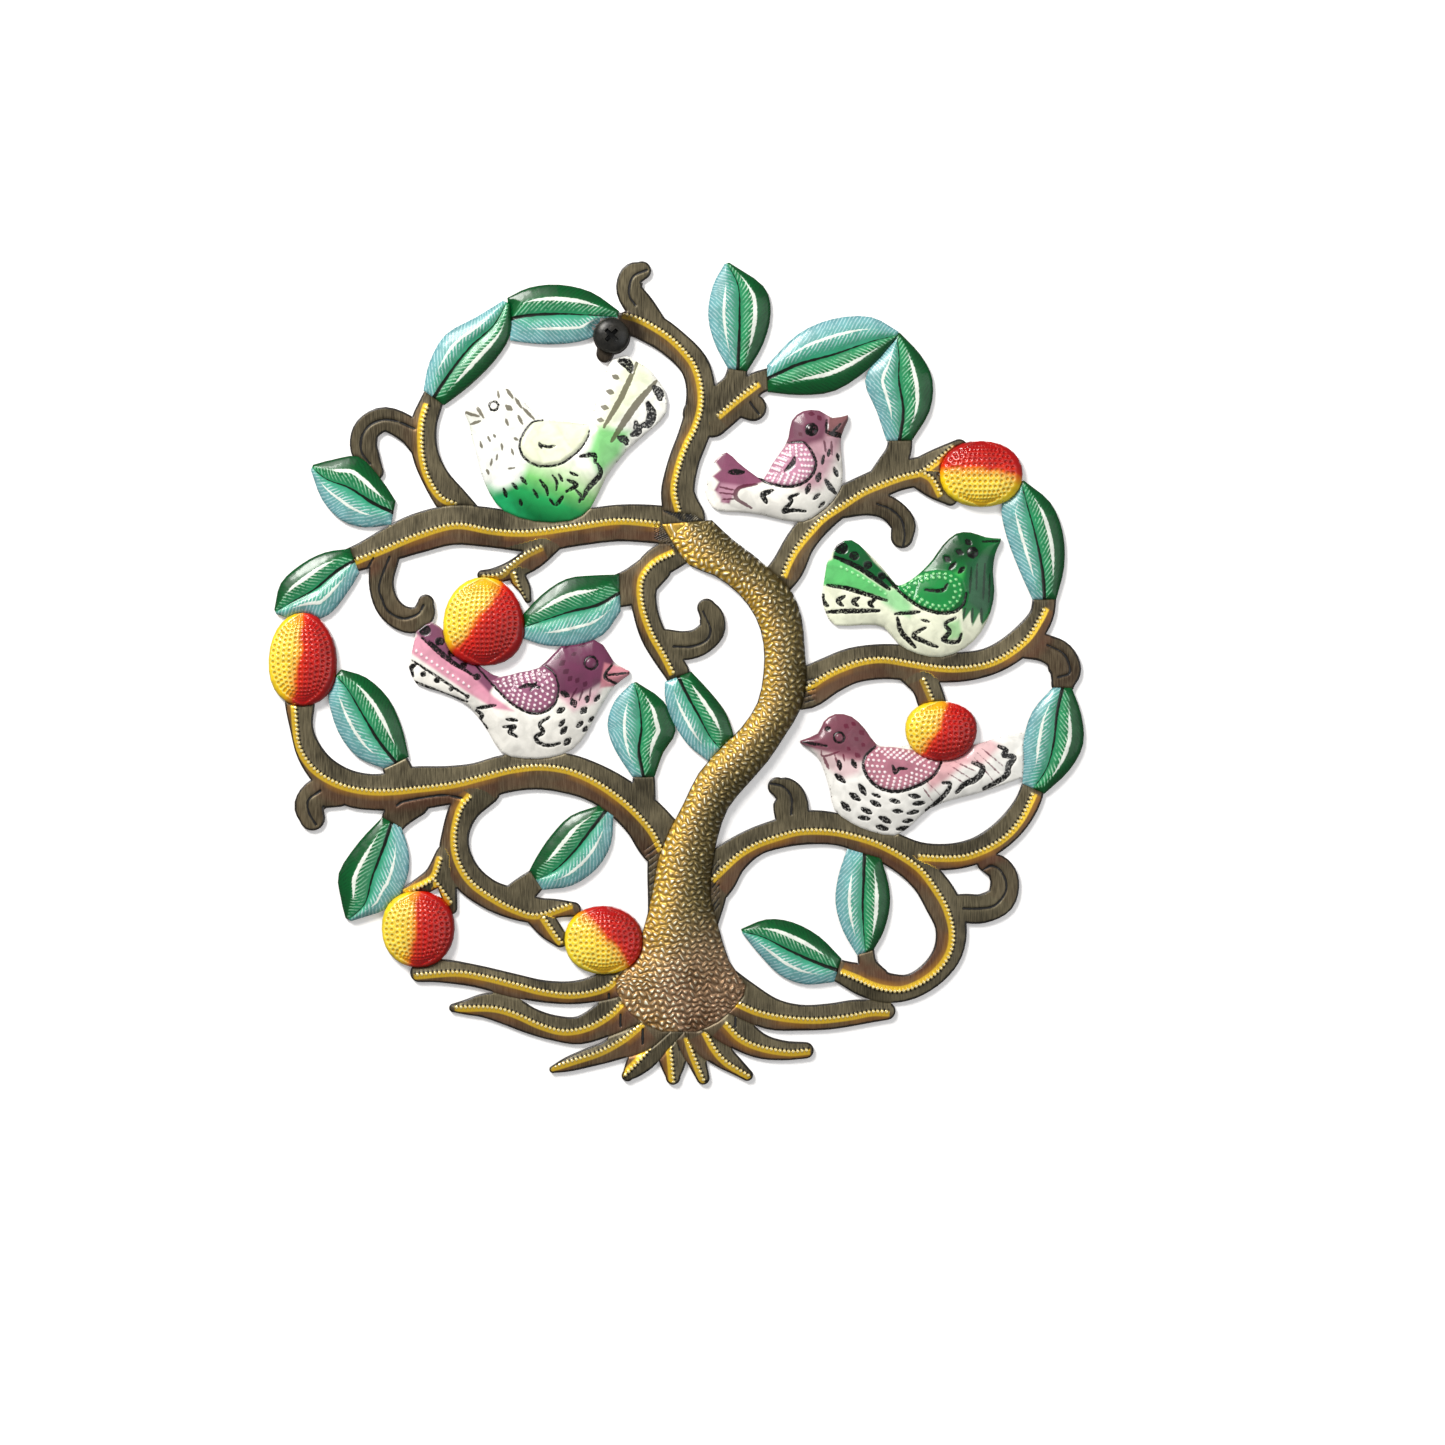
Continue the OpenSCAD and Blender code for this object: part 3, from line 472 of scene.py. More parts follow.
def makeBareBack():
    tree, given, made = makeGroup(
        "bareBack",
        [("Vector", "Vector", None), ("Front", "Float", 1.0), ("Colour", "Color", paint(128, 128, 128)),
         ("Roughness", "Float", 0.3), ("Metallic", "Float", 0.0)],
        [("Colour", "Color"), ("Roughness", "Float"), ("Metallic", "Float")])
    mask = span(tree, given["Front"], 0.35, 0.6)
    rust = noise(tree, given["Vector"], 130.0, (1, 1, 1), 5.0, 0.5)
    bare = tones(tree, rust, [(0.3, paint(70, 60, 52)), (0.55, paint(112, 98, 84)),
                              (0.72, paint(128, 84, 54))])
    feed(tree, made["Colour"], lay(tree, mask, bare, given["Colour"]))
    rough = put(tree, "ShaderNodeMix", data_type="FLOAT")
    for index, value in ((0, mask), (2, 0.5), (3, given["Roughness"])):
        feed(tree, rough.inputs[index], value)
    metal = put(tree, "ShaderNodeMix", data_type="FLOAT")
    for index, value in ((0, mask), (2, 0.6), (3, given["Metallic"])):
        feed(tree, metal.inputs[index], value)
    feed(tree, made["Roughness"], rough.outputs[0])
    feed(tree, made["Metallic"], metal.outputs[0])
    return tree


brushedSteel, beadRow, chiselLine = makeBrushedSteel(), makeBeadRow(), makeChiselLine()
brushHatch, scaleRows = makeBrushHatch(), makeScaleRows()
paintWear, bareBack = makePaintWear(), makeBareBack()


def overBack(tree, shader, place, colour, roughness, metallic, height, depth):
    back = useGroup(tree, bareBack, Vector=place, Front=noted(tree, "front"), Colour=colour,
                    Roughness=roughness, Metallic=metallic)
    finishMaterial(tree, shader, back["Colour"], back["Roughness"], back["Metallic"], height, depth)


print("shader groups made")


# Limbs and roots: brushed steel with a roof-like crease under each row of beads

limb = dict(crease=0.65, beadPitch=1.5, beadHigh=0.3, groove=0.4, chiselWidth=0.5, rimDarkLine=0.7,
            gildReach=4.2, screwDarkWide=12.5, screwDarkFull=8.5,
            ochre=paint(176, 124, 44), goldPaint=paint(244, 200, 56), beadHighlight=paint(255, 240, 178),
            patina=paint(112, 62, 42), ink=paint(6, 5, 4))

# Gold lines, chiselled lines and how much red patina each limb carries
limbLines = {
    "limb_perch": dict(
        patina=0.85,
        gold=[[(-6, 51), (-20, 52), (-35, 50), (-50, 48), (-62, 48.5), (-75, 50.5), (-88, 47),
               (-100, 42), (-110, 38)]],
        silver=[[(-46, 43), (-52, 40), (-57, 36), (-60, 33.5), (-66, 33)],
                [(-55, 34), (-53.5, 29), (-51.5, 25)]],
        cuts=[[(-97.5, 39.5), (-101, 30), (-100, 25), (-98, 21), (-93, 18.5), (-88, 20), (-86, 23)],
              [(-103, 39), (-105, 35.5)]]),
    "limb_arc": dict(
        patina=0.3,
        gold=[[(-75, 57.5), (-80, 60), (-84, 66), (-86, 73), (-86.5, 80), (-86, 86), (-84.5, 91)]],
        cuts=[[(-89, 83), (-95, 85.5), (-100, 86), (-104.5, 84), (-107, 80), (-107, 75), (-104, 71)]]),
    "limb_top": dict(
        patina=0.3,
        gold=[[(1, 55), (-0.5, 62), (1, 70), (3.5, 77), (6.5, 83), (8.5, 90), (8.5, 97), (6.5, 104),
               (3, 109), (-2, 114), (-8, 118), (-13, 120.5), (-18, 122)],
              [(14, 87.5), (21, 93.5), (27.5, 98.5)]],
        cuts=[[(-14, 125), (-16, 128), (-16, 131.5), (-14.5, 135), (-10, 137)], [(25, 92), (28, 88)]]),
    "limb_right": dict(
        patina=0.35,
        gold=[[(36, 33), (38, 38), (41, 43), (46, 49), (50, 53), (56, 57), (63, 61.5), (70, 64.5),
               (77, 67), (83, 68.5), (88, 72), (94, 77)], [(83, 68.5), (87, 66), (90, 60.5)]],
        cuts=[[(68, 57.5), (73, 55.5), (76.5, 52), (77.5, 47), (77, 43)]]),
    "limb_mid_right": dict(
        patina=0.9,
        gold=[[(44, -5), (50, -1), (55, 1.5), (62, 4), (70, 5), (80, 3.5), (90, 2), (98, 2),
               (106, 3.5), (113, 7), (119, 12), (123, 18), (125, 22)]],
        silver=[[(84, -2), (87, -9)]],
        cuts=[[(126, 9.5), (131, 7), (133, 4), (133.5, 0), (129.5, -1.5)]]),
    "limb_low_right": dict(
        patina=0.9,
        gold=[[(12, -70), (16, -66), (21, -61.5), (27, -58), (34, -55.5), (42, -53.5), (52, -53.5),
               (60, -55), (68, -57.5), (76, -61.5), (83, -66.5), (88, -73), (92, -80), (94, -88),
               (93, -95), (89, -101), (83, -105.5), (76, -108), (68, -107), (61, -104), (56, -102)],
              [(82.5, -62), (90, -62.5), (98, -62), (106, -59), (112, -55), (117, -49), (121, -41)]],
        cuts=[[(31.5, -37.5), (36, -38.5), (39, -42), (39, -48)],
              [(97.5, -80), (103, -80), (108, -79), (111.5, -75), (112, -71), (110, -67),
               (107, -65.5), (104, -67)]]),
    "limb_low_left": dict(
        patina=0.7,
        gold=[[(-5, -60), (-8, -54), (-13, -48), (-19, -42.5), (-27, -37), (-36, -33), (-46, -31.5),
               (-56, -32.5), (-66, -35), (-76, -37.5), (-88, -39), (-100, -40), (-110, -39),
               (-118, -36), (-124, -31.5), (-128, -25), (-129, -18), (-129.5, -11)],
              [(-70, -42), (-73, -46), (-75, -53), (-75, -60), (-73, -66), (-69, -71.5),
               (-62, -76.5), (-54, -80.5), (-47, -82), (-36, -78.5)],
              [(-45, -83), (-41, -89), (-39, -91.5)],
              [(-80, -63), (-82, -69), (-85, -71.5), (-92, -75)],
              [(-82, -70.5), (-79, -74.5), (-76.5, -78)]],
        cuts=[[(-121, -40), (-125, -43), (-125, -47), (-122.5, -51.5)],
              [(-95, -45), (-92, -43.5), (-80, -41.5), (-73, -42.5)]]),
    "limb_twig": dict(
        patina=0.25,
        gold=[[(-1, 40.5), (-7, 37.5), (-11, 33), (-12, 28), (-11, 21), (-8, 13), (-4, 6), (-1, 0)]],
        cuts=[[(-1, 9), (5, 9), (10, 11), (11.5, 15), (9, 21)]]),
    "root_far_left": dict(
        patina=0.8,
        gold=[[(-20, -103), (-25, -107), (-35, -109), (-45, -108), (-55, -105.5), (-65, -103),
               (-75, -101.5), (-89, -102.5)]], cuts=[[(-23, -109), (-23, -111)]]),
    "root_left": dict(
        patina=0.9,
        gold=[[(-19, -112), (-23, -116), (-30, -120), (-38, -121.5), (-46, -119.5), (-55, -115.5),
               (-63, -113.5), (-75, -113.5)]], cuts=[[(-19, -116), (-19, -120)]]),
    "root_low_left": dict(
        patina=0.9, gold=[[(-12, -119), (-18, -124), (-26, -128.5), (-35, -131.5), (-43, -134)]],
        cuts=[[(-11.5, -121), (-11.5, -126)]]),
    "root_toe_left": dict(
        patina=0.9, gold=[[(-7, -122), (-9, -127), (-12, -131), (-18, -137)]],
        cuts=[[(-11.5, -121), (-11.5, -126)]]),
    "root_toe_mid": dict(patina=0.9, gold=[[(-3, -121), (-2, -128), (-1, -139)]],
                         cuts=[[(1, -124), (1, -128)]]),
    "root_toe_right": dict(patina=0.9, gold=[[(4, -124), (5.5, -129), (9.5, -139)]],
                           cuts=[[(7, -123), (7, -128)]]),
    "root_low_right": dict(patina=0.9, gold=[[(10, -122), (13, -127.5), (17, -132), (25, -137)]],
                           cuts=[[(15, -121), (15, -124)]]),
    "root_right": dict(patina=0.9, gold=[[(17, -119), (22, -124), (29, -127), (38, -128.5), (45, -128)]],
                       cuts=[[(20, -117), (20, -120)]]),
    "root_far_right": dict(
        patina=0.7, gold=[[(20, -111.5), (28, -115), (38, -117), (48, -117.5), (58, -116.5),
                           (66, -115), (72, -115)]], cuts=[]),
}
# Slanting hatch cuts where limbs leave the trunk, as pairs of ends
hatchCuts = [((-4.5 + 1.3 * k, 55.2 - 0.15 * k), (2 + 1.3 * k, 51.6 - 0.35 * k)) for k in range(9)]
hatchCuts += [((-7.5, 51 - k), (-2.5 + 0.3 * k, 47.6 - k)) for k in range(6)]
hatchCuts += [((-11, z), (-6.5, z + 3.5)) for z in np.arange(-78, -60, 2.2)]
hatchCuts += [((12, z), (14.5, z + 3.5)) for z in np.arange(-82, -66, 2.2)]
hatchCuts += [((43.5, z), (47, z + 1)) for z in np.arange(-10, -2, 1.8)]


def limbShape(name):
    lines = limbLines[name]
    rows = [(smoothLine(line), 1.0) for line in lines["gold"]]
    rows += [(smoothLine(line), 0.45) for line in lines.get("silver", [])]
    cuts = [smoothLine(line) for line in lines["cuts"]]
    free = freeRim(name)

    def shape(points, rim):
        nearest = np.full(len(points), 99.0)
        bead = np.zeros((len(points), 3))
        shine = np.ones(len(points))
        for row, gilt in rows:
            along, across, inside = alongLine(points, row)
            # The gilt lies along the whole of one side, the one nearest the lower left
            run = row[-1] - row[0]
            side = 1 if run[1] * 0.75 - run[0] * 0.65 > 0 else -1
            gap = np.abs(across)
            closer = gap < nearest
            nearest[closer] = gap[closer]
            bead[closer] = np.stack([along, across * side, inside], 1)[closer]
            shine[closer] = gilt
        cut = np.full(len(points), 9.0)
        for line in cuts:
            cut = np.minimum(cut, np.abs(alongLine(points, line)[1]))
        low, high = points.min(0) - 2, points.max(0) + 2
        near = [h for h in hatchCuts
                if (np.array(h).max(0) > low).all() and (np.array(h).min(0) < high).all()]
        if near:
            cut = np.minimum(cut, nearRim(points, np.array(near)) + 0.2)
        height = limb["crease"] * rim / (nearest + rim + 0.01)
        beads = 0.5 + 0.5 * np.cos(math.tau * bead[:, 0] / limb["beadPitch"])
        height += limb["beadHigh"] * beads * np.exp(-(nearest / 0.75) ** 2) * bead[:, 2] * soften(rim, 0, 1)
        height -= limb["groove"] * np.exp(-(cut / 0.5) ** 2) * soften(rim, 0, 1)
        return np.maximum(height, -0.2), dict(bead=bead, near=nearest, shine=shine, cut=cut,
                                              edge=nearRim(points, free))

    return shape


def makeLimbPaint(name, patina):
    material, tree, shader, place = newMaterial(name)
    along, across, inside = split(tree, noted(tree, "bead", "Vector"))[:3]
    shine = noted(tree, "shine")
    steel = useGroup(tree, brushedSteel, Vector=place)
    cloud = noise(tree, place, 55.0, (1, 1, 1), 3.0, 0.5)
    below = calc(tree, "MULTIPLY", span(tree, across, -0.4, 2.0), span(tree, cloud, 0.25, 0.6, 0.3, 1.0))
    below = calc(tree, "MULTIPLY", below, span(tree, across, 9.0, 5.0, 0.25, 1.0))
    below = calc(tree, "MULTIPLY", below, span(tree, inside, 0.0, 1.0, 0.3, 1.0))
    red = lay(tree, calc(tree, "MULTIPLY", below, patina), steel["Colour"], limb["patina"], "MIX")
    red = lay(tree, 0.4, red, steel["Colour"])
    # Midway between two gold lines the side changes over, so nothing is gilt there
    inside = calc(tree, "MULTIPLY", inside, span(tree, noted(tree, "near"), limb["gildReach"],
                                           limb["gildReach"] - 1.2))
    beads = useGroup(tree, beadRow, Along=along, Across=across, Inside=inside, Pitch=limb["beadPitch"])
    ochreBand = calc(tree, "MULTIPLY", span(tree, across, 4.2, 1.2), span(tree, across, 0.2, 0.9))
    ochreBand = calc(tree, "MULTIPLY", calc(tree, "MULTIPLY", ochreBand, inside), shine)
    ochreBand = calc(tree, "MULTIPLY", ochreBand, span(tree, cloud, 0.42, 0.62, 0.15, 0.35 + 0.5 * patina))
    colour = lay(tree, ochreBand, red, limb["ochre"])
    gilt = calc(tree, "MULTIPLY", beads["Gold"], shine)
    colour = lay(tree, calc(tree, "MULTIPLY", gilt, span(tree, cloud, 0.25, 0.45, 0.75, 1.0)),
                 colour, limb["goldPaint"])
    colour = lay(tree, beads["Tick"], colour, limb["ink"])
    # Each bead's dome is painted cream, a painted highlight on the punched bead
    colour = lay(tree, calc(tree, "MULTIPLY", beads["Bead"], 0.85), colour, limb["beadHighlight"])
    cutInk = useGroup(tree, chiselLine, Vector=place, Distance=noted(tree, "cut"),
                      Width=limb["chiselWidth"])
    # A thin dark line along the rim that no other piece touches
    rimDarkLine = useGroup(tree, chiselLine, Vector=place, Distance=noted(tree, "edge"), Width=limb["rimDarkLine"],
                      Wobble=0.35)
    darkLines = calc(tree, "MAXIMUM", cutInk["Mask"], calc(tree, "MULTIPLY", rimDarkLine["Mask"], 0.9))
    colour = lay(tree, darkLines, colour, limb["ink"])
    # Darker all round the screw, fading in from about 12.5 mm to 8.5 mm from it
    around = put(tree, "ShaderNodeVectorMath", operation="LENGTH")
    feed(tree, around.inputs[0], place)
    darkAroundScrew = span(tree, around.outputs["Value"], limb["screwDarkWide"] * mm, limb["screwDarkFull"] * mm, 0.0,
                  0.85)
    colour = lay(tree, darkAroundScrew, colour, paint(30, 18, 10))
    bright = calc(tree, "MAXIMUM", gilt, beads["Bead"])
    roughness = calc(tree, "SUBTRACT", steel["Roughness"], calc(tree, "MULTIPLY", bright, 0.14))
    metallic = span(tree, calc(tree, "SUBTRACT", 1.0, darkLines), 0.0, 1.0, 0.1, 0.55)
    height = calc(tree, "ADD", calc(tree, "MULTIPLY", beads["Height"], 0.8),
                  calc(tree, "MULTIPLY", steel["Height"], 0.18))
    height = calc(tree, "SUBTRACT", height, calc(tree, "MULTIPLY", darkLines, 0.5))
    overBack(tree, shader, place, colour, roughness, metallic, height, 0.25 * mm)
    return material


limbPaints = {}
for name, lines in limbLines.items():
    key = lines["patina"]
    if key not in limbPaints:
        limbPaints[key] = makeLimbPaint("limbSteel%02d" % round(key * 100), key)
    raiseSheet(name, limbShape(name), limbPaints[key], sheet["cell"])
print("limbs and roots raised")


# Trunk: overlapping hammered scales, gilt down its left edge

trunk = dict(relief=4.6, pitch=2.0, width=2.3, scaleHigh=0.42,
             line=[(3.5, 51.2), (9, 44.8), (15.8, 38), (23, 33.5), (30, 27.5), (34.6, 19), (36.5, 9.5),
                   (36.8, -1), (34.8, -11.2), (29.5, -19.8), (23, -27.8), (15.8, -36), (10, -45),
                   (6, -54.5), (3, -64.5), (1.8, -75), (1.8, -86.5), (1.5, -97.5), (1.5, -105.5),
                   (1, -112.2), (1, -118.5), (1, -121.8)])


def trunkShape(points, rim):
    along, across, _ = alongLine(points, smoothLine(trunk["line"]))
    u = across / (np.abs(across) + rim + 0.01)
    v = along / along.max()
    height = trunk["relief"] * np.clip(np.minimum(9 * v, 9 * (1 - v)), 0, 1) ** 0.7 \
        * np.clip(1 - u ** 2, 0, 1) ** 0.75
    # Hand-struck rows wander a little
    along = along + 0.45 * np.sin(across * 0.9 + along * 0.31) + 0.3 * np.sin(across * 2.1 - along * 0.17)
    across = across + 0.4 * np.sin(along * 0.83) + 0.25 * np.sin(along * 2.3 + across * 0.6)
    row = along / trunk["pitch"]
    a = (row % 1 - 0.5) * 2
    b = ((across / trunk["width"] + 0.5 * (np.floor(row) % 2)) % 1 - 0.5) * 2
    dome = soften(-np.hypot(a, b), -1.05, -0.15)
    height += trunk["scaleHigh"] * (dome - 0.4) * soften(rim, 0, 1.5)
    return np.maximum(height, 0), dict(bark=np.stack([along, across, u], 1), height=height,
                                       edge=nearRim(points, freeRim("trunk")))


def makeTrunkPaint():
    material, tree, shader, place = newMaterial("trunkSteel")
    along, across, share = split(tree, noted(tree, "bark", "Vector"))[:3]
    scales = useGroup(tree, scaleRows, Along=along, Across=across, Pitch=trunk["pitch"],
                      Width=trunk["width"])
    steel = useGroup(tree, brushedSteel, Vector=place, Dark=paint(66, 52, 22), Light=paint(176, 150, 88))
    cloud = noise(tree, place, 90.0, (1, 1, 1), 3.0, 0.5)
    wander = calc(tree, "ADD", share, calc(tree, "MULTIPLY", calc(tree, "SUBTRACT", cloud, 0.5), 0.45))
    across = calc(tree, "ADD", calc(tree, "MULTIPLY", wander, 0.5), 0.5)
    wash = tones(tree, across, [(0.0, paint(250, 196, 60)), (0.2, paint(244, 198, 84)),
                                (0.38, paint(184, 150, 82)), (0.55, paint(136, 116, 66)),
                                (0.8, paint(92, 82, 44)), (1.0, paint(58, 52, 28))])
    colour = lay(tree, 0.35, wash, steel["Colour"])
    foot = span(tree, along, 150.0, 185.0)
    mauve = lay(tree, span(tree, cloud, 0.3, 0.65), paint(120, 84, 60), paint(176, 140, 112))
    colour = lay(tree, calc(tree, "MULTIPLY", foot, 0.75), colour, mauve)
    # Painted highlights on the scale domes, strongest down the left side
    fleck = span(tree, noise(tree, place, 420.0), 0.36, 0.6, 0.25, 1.0)
    scaleHighlight = calc(tree, "MULTIPLY", span(tree, scales["Dome"], 0.5, 0.9),
                 span(tree, share, 0.45, -0.45, 0.22, 1.0))
    scaleHighlight = calc(tree, "MULTIPLY", scaleHighlight, fleck)
    colour = lay(tree, calc(tree, "MULTIPLY", scaleHighlight, 1.0), colour, paint(255, 252, 224))
    # Painted shade: dark crescents along each scale's lower edge, where the next row overlaps
    lip = calc(tree, "MULTIPLY", scales["ScaleShade"], span(tree, noise(tree, place, 400.0), 0.3, 0.55, 0.35, 1.0))
    colour = lay(tree, calc(tree, "MULTIPLY", lip, 0.5), colour, paint(44, 34, 12))
    # A thin dark line along the rim that no other piece touches
    rimDarkLine = useGroup(tree, chiselLine, Vector=place, Distance=noted(tree, "edge"), Width=0.4)
    colour = lay(tree, rimDarkLine["Mask"], colour, limb["ink"])
    height = calc(tree, "ADD", scales["Dome"], calc(tree, "MULTIPLY", steel["Height"], 0.15))
    metallic = span(tree, rimDarkLine["Mask"], 0.0, 1.0, 0.55, 0.1)
    overBack(tree, shader, place, colour, steel["Roughness"], metallic, height, 0.3 * mm)
    return material


raiseSheet("trunk", trunkShape, makeTrunkPaint(), sheet["fineCell"])
print("trunk raised")


# Leaves: two raised halves, one green and one blue, either side of a black midrib

leaf = dict(relief=2.7, ribDepth=0.6, ribWide=0.15, ribInk=0.75, crescent=0.5, crescentWide=0.78)
# The midrib of each leaf from its foot to its tip, and the side that is blue
leafLines = {
    "leaf_top_left": ("left", [(-82.5, 93.5), (-77.2, 101.5), (-70.2, 110.5), (-62.2, 118), (-57.6, 126)]),
    "leaf_screw": ("right", [(-57, 120.2), (-49.5, 121.5), (-40, 121.9), (-29.5, 121.5), (-20, 121)]),
    "leaf_top": ("left", [(20.8, 103), (21.2, 112), (21.4, 122), (20.9, 131.5), (17.1, 139.2)]),
    "leaf_top_right": ("left", [(30.9, 100), (41.5, 104.8), (53.5, 108.2), (66, 112.5), (75, 114.8)]),
    "leaf_right_upper": ("left", [(75.7, 79), (77, 89), (75.5, 99.2), (75.5, 107.5), (74.7, 115.3)]),
    "leaf_right": ("left", [(125, 25), (124.1, 35.5), (121.7, 47.2), (118.8, 57.8), (117, 65)]),
    "leaf_right_lower": ("right", [(131.1, -5), (129.2, -13.5), (128.1, -23.2), (125.8, -32),
                                   (121.2, -39.2)]),
    "leaf_left_upper": ("left", [(-96.2, 54.5), (-103.2, 57.8), (-111, 62.8), (-118.8, 65.8),
                                 (-123.9, 69.9)]),
    "leaf_left": ("left", [(-109.4, 38.1), (-115.5, 34.5), (-122.8, 28.5), (-130.8, 24), (-136.3, 20.8)]),
    "leaf_left_lower": ("left", [(-95.2, -30.5), (-101, -23.2), (-106.5, -14.2), (-111.9, -5.2),
                                 (-115.9, -0.8)]),
    "leaf_mid_left": ("left", [(-19.2, 27.2), (-26.8, 23.1), (-35.8, 20.9), (-45, 17.9), (-53.5, 15)]),
    "leaf_mid": ("left", [(-11.2, -35.3), (-12.8, -26.5), (-11.9, -18.5), (-12.8, -9.5), (-14.5, -3.2)]),
    "leaf_mid_right": ("right", [(0.5, -1.2), (3.9, -8), (7.8, -15), (11.3, -21.5), (15.3, -26.2)]),
    "leaf_low_left": ("left", [(-96.8, -50.8), (-99.5, -59.2), (-103.2, -69), (-105.8, -78.2),
                               (-111.5, -83.8)]),
    "leaf_low_mid": ("left", [(-24, -46.8), (-29.1, -53.2), (-34.8, -60.6), (-41.2, -66.8),
                              (-47.8, -70.3)]),
    "leaf_low_right": ("left", [(54.8, -101), (46, -97.7), (37.2, -93.6), (29.2, -89.6), (22.1, -87.8)]),
    "leaf_low_hanging": ("right", [(63.8, -61.4), (63.5, -70.2), (63.2, -78.5), (63.5, -87.5),
                                   (64.2, -94.9)]),
}


def leafShape(name):
    side, line = leafLines[name]
    rib = smoothLine(line)

    def shape(points, rim):
        along, across, _ = alongLine(points, rib)
        if side == "right":
            across = -across  # positive is always the blue half
        u = across / (np.abs(across) + rim + 0.01)
        v = np.clip(along / along.max(), 0.001, 0.999)
        height = leaf["relief"] * np.sin(np.pi * v) ** 0.45 * np.clip(1 - u ** 2, 0, 1) ** 0.95
        height *= 1 - leaf["ribDepth"] * np.exp(-(u / (2 * leaf["ribWide"])) ** 2)
        return height, dict(blade=np.stack([u, v, rim], 1), spine=np.stack([along, across, rim], 1))

    return shape


def makeLeafPaint():
    material, tree, shader, place = newMaterial("leafPaint")
    shader.inputs["Coat Weight"].default_value = 0.12
    shader.inputs["Specular IOR Level"].default_value = 0.32
    share, run, rim = split(tree, noted(tree, "blade", "Vector"))[:3]
    along, across = split(tree, noted(tree, "spine", "Vector"))[:2]
    cloud = noise(tree, place, 120.0, (1, 1, 1), 3.0, 0.5)
    far = calc(tree, "ABSOLUTE", share)
    off = calc(tree, "ABSOLUTE", across)
    wide = calc(tree, "ADD", off, rim)
    blue = span(tree, across, -0.15, 0.15)
    wander = calc(tree, "ADD", far, calc(tree, "MULTIPLY", calc(tree, "SUBTRACT", cloud, 0.5), 0.35))
    greens = tones(tree, wander, [(0.0, paint(40, 140, 92)), (0.3, paint(36, 132, 82)),
                                  (0.48, paint(4, 100, 50)), (0.62, paint(0, 84, 36)),
                                  (1.0, paint(0, 72, 30))])
    blues = tones(tree, wander, [(0.0, paint(40, 150, 108)), (0.3, paint(76, 164, 138)),
                                 (0.55, paint(100, 168, 162)), (0.8, paint(112, 170, 172)),
                                 (1.0, paint(98, 156, 164))])
    hatch = useGroup(tree, brushHatch, Vector=place, Along=along, Across=off, Slant=-1.1, Pitch=1.6)
    inner = calc(tree, "MULTIPLY", span(tree, far, 0.06, 0.2), span(tree, far, 0.62, 0.5))
    strokes = calc(tree, "MULTIPLY", hatch["Mask"], inner)
    greens = lay(tree, calc(tree, "MULTIPLY", strokes, 0.75), greens, paint(140, 204, 164))
    greens = lay(tree, calc(tree, "MULTIPLY", calc(tree, "MULTIPLY", hatch["Mask"],
                                                   span(tree, far, 0.6, 0.8)), 0.45),
                 greens, paint(0, 48, 22))
    outer = calc(tree, "MULTIPLY", hatch["Mask"], span(tree, far, 0.1, 0.3))
    blues = lay(tree, calc(tree, "MULTIPLY", outer, 0.6), blues, paint(190, 222, 224))
    colour = lay(tree, blue, greens, blues)
    # White crescents follow each half's middle, thin at both ends: white paint that is also a painted
    # highlight along each raised half
    middle = calc(tree, "SUBTRACT", off, calc(tree, "MULTIPLY", wide, leaf["crescent"]))
    taper = calc(tree, "MULTIPLY", span(tree, run, 0.08, 0.42), span(tree, run, 0.92, 0.58))
    thick = calc(tree, "MULTIPLY", taper, lay(tree, blue, (leaf["crescentWide"],) * 3 + (1,),
                                              (0.6, 0.6, 0.6, 1)))
    ragged = calc(tree, "MULTIPLY", calc(tree, "SUBTRACT", noise(tree, place, 900.0), 0.5), 0.7)
    edge = calc(tree, "ADD", calc(tree, "ABSOLUTE", middle), ragged)
    crescentWhiteAndHighlight = span(tree, calc(tree, "SUBTRACT", thick, edge), 0.0, 0.25)
    feather = calc(tree, "MULTIPLY", hatch["Mask"], span(tree, middle, -2.4, -0.3))
    feather = calc(tree, "MULTIPLY", calc(tree, "MULTIPLY", feather, span(tree, middle, 0.6, 0.0)), taper)
    crescentWhiteAndHighlight = calc(tree, "MAXIMUM", crescentWhiteAndHighlight, calc(tree, "MULTIPLY", feather, 0.7))
    colour = lay(tree, calc(tree, "MULTIPLY", crescentWhiteAndHighlight, 0.92), colour, paint(246, 250, 240))
    worn = useGroup(tree, paintWear, Vector=place, Colour=colour, Rim=rim)
    ribHalf = span(tree, run, 0.0, 1.0, leaf["ribInk"], 0.25)
    ribInk = useGroup(tree, chiselLine, Vector=place, Distance=off, Width=ribHalf, Wobble=0.3)
    ends = span(tree, run, 0.99, 0.93)
    colour = lay(tree, calc(tree, "MULTIPLY", ribInk["Mask"], ends), worn["Colour"], paint(12, 20, 12))
    height = calc(tree, "ADD", calc(tree, "MULTIPLY", worn["Height"], 0.3),
                  calc(tree, "MULTIPLY", crescentWhiteAndHighlight, 0.25))
    height = calc(tree, "ADD", height, calc(tree, "MULTIPLY", strokes, 0.2))
    overBack(tree, shader, place, colour, worn["Roughness"], 0.0, height, 0.12 * mm)
    return material


leafPaint = makeLeafPaint()
for name in leafLines:
    raiseSheet(name, leafShape(name), leafPaint, sheet["cell"])
print("leaves raised")


# Fruits: low eggs with rows of punched dimples, part red and part yellow

fruit = dict(relief=5, dimple=0.42, dimpleWide=0.62, rowGap=1.9, dotGap=1.75, cell=0.27)
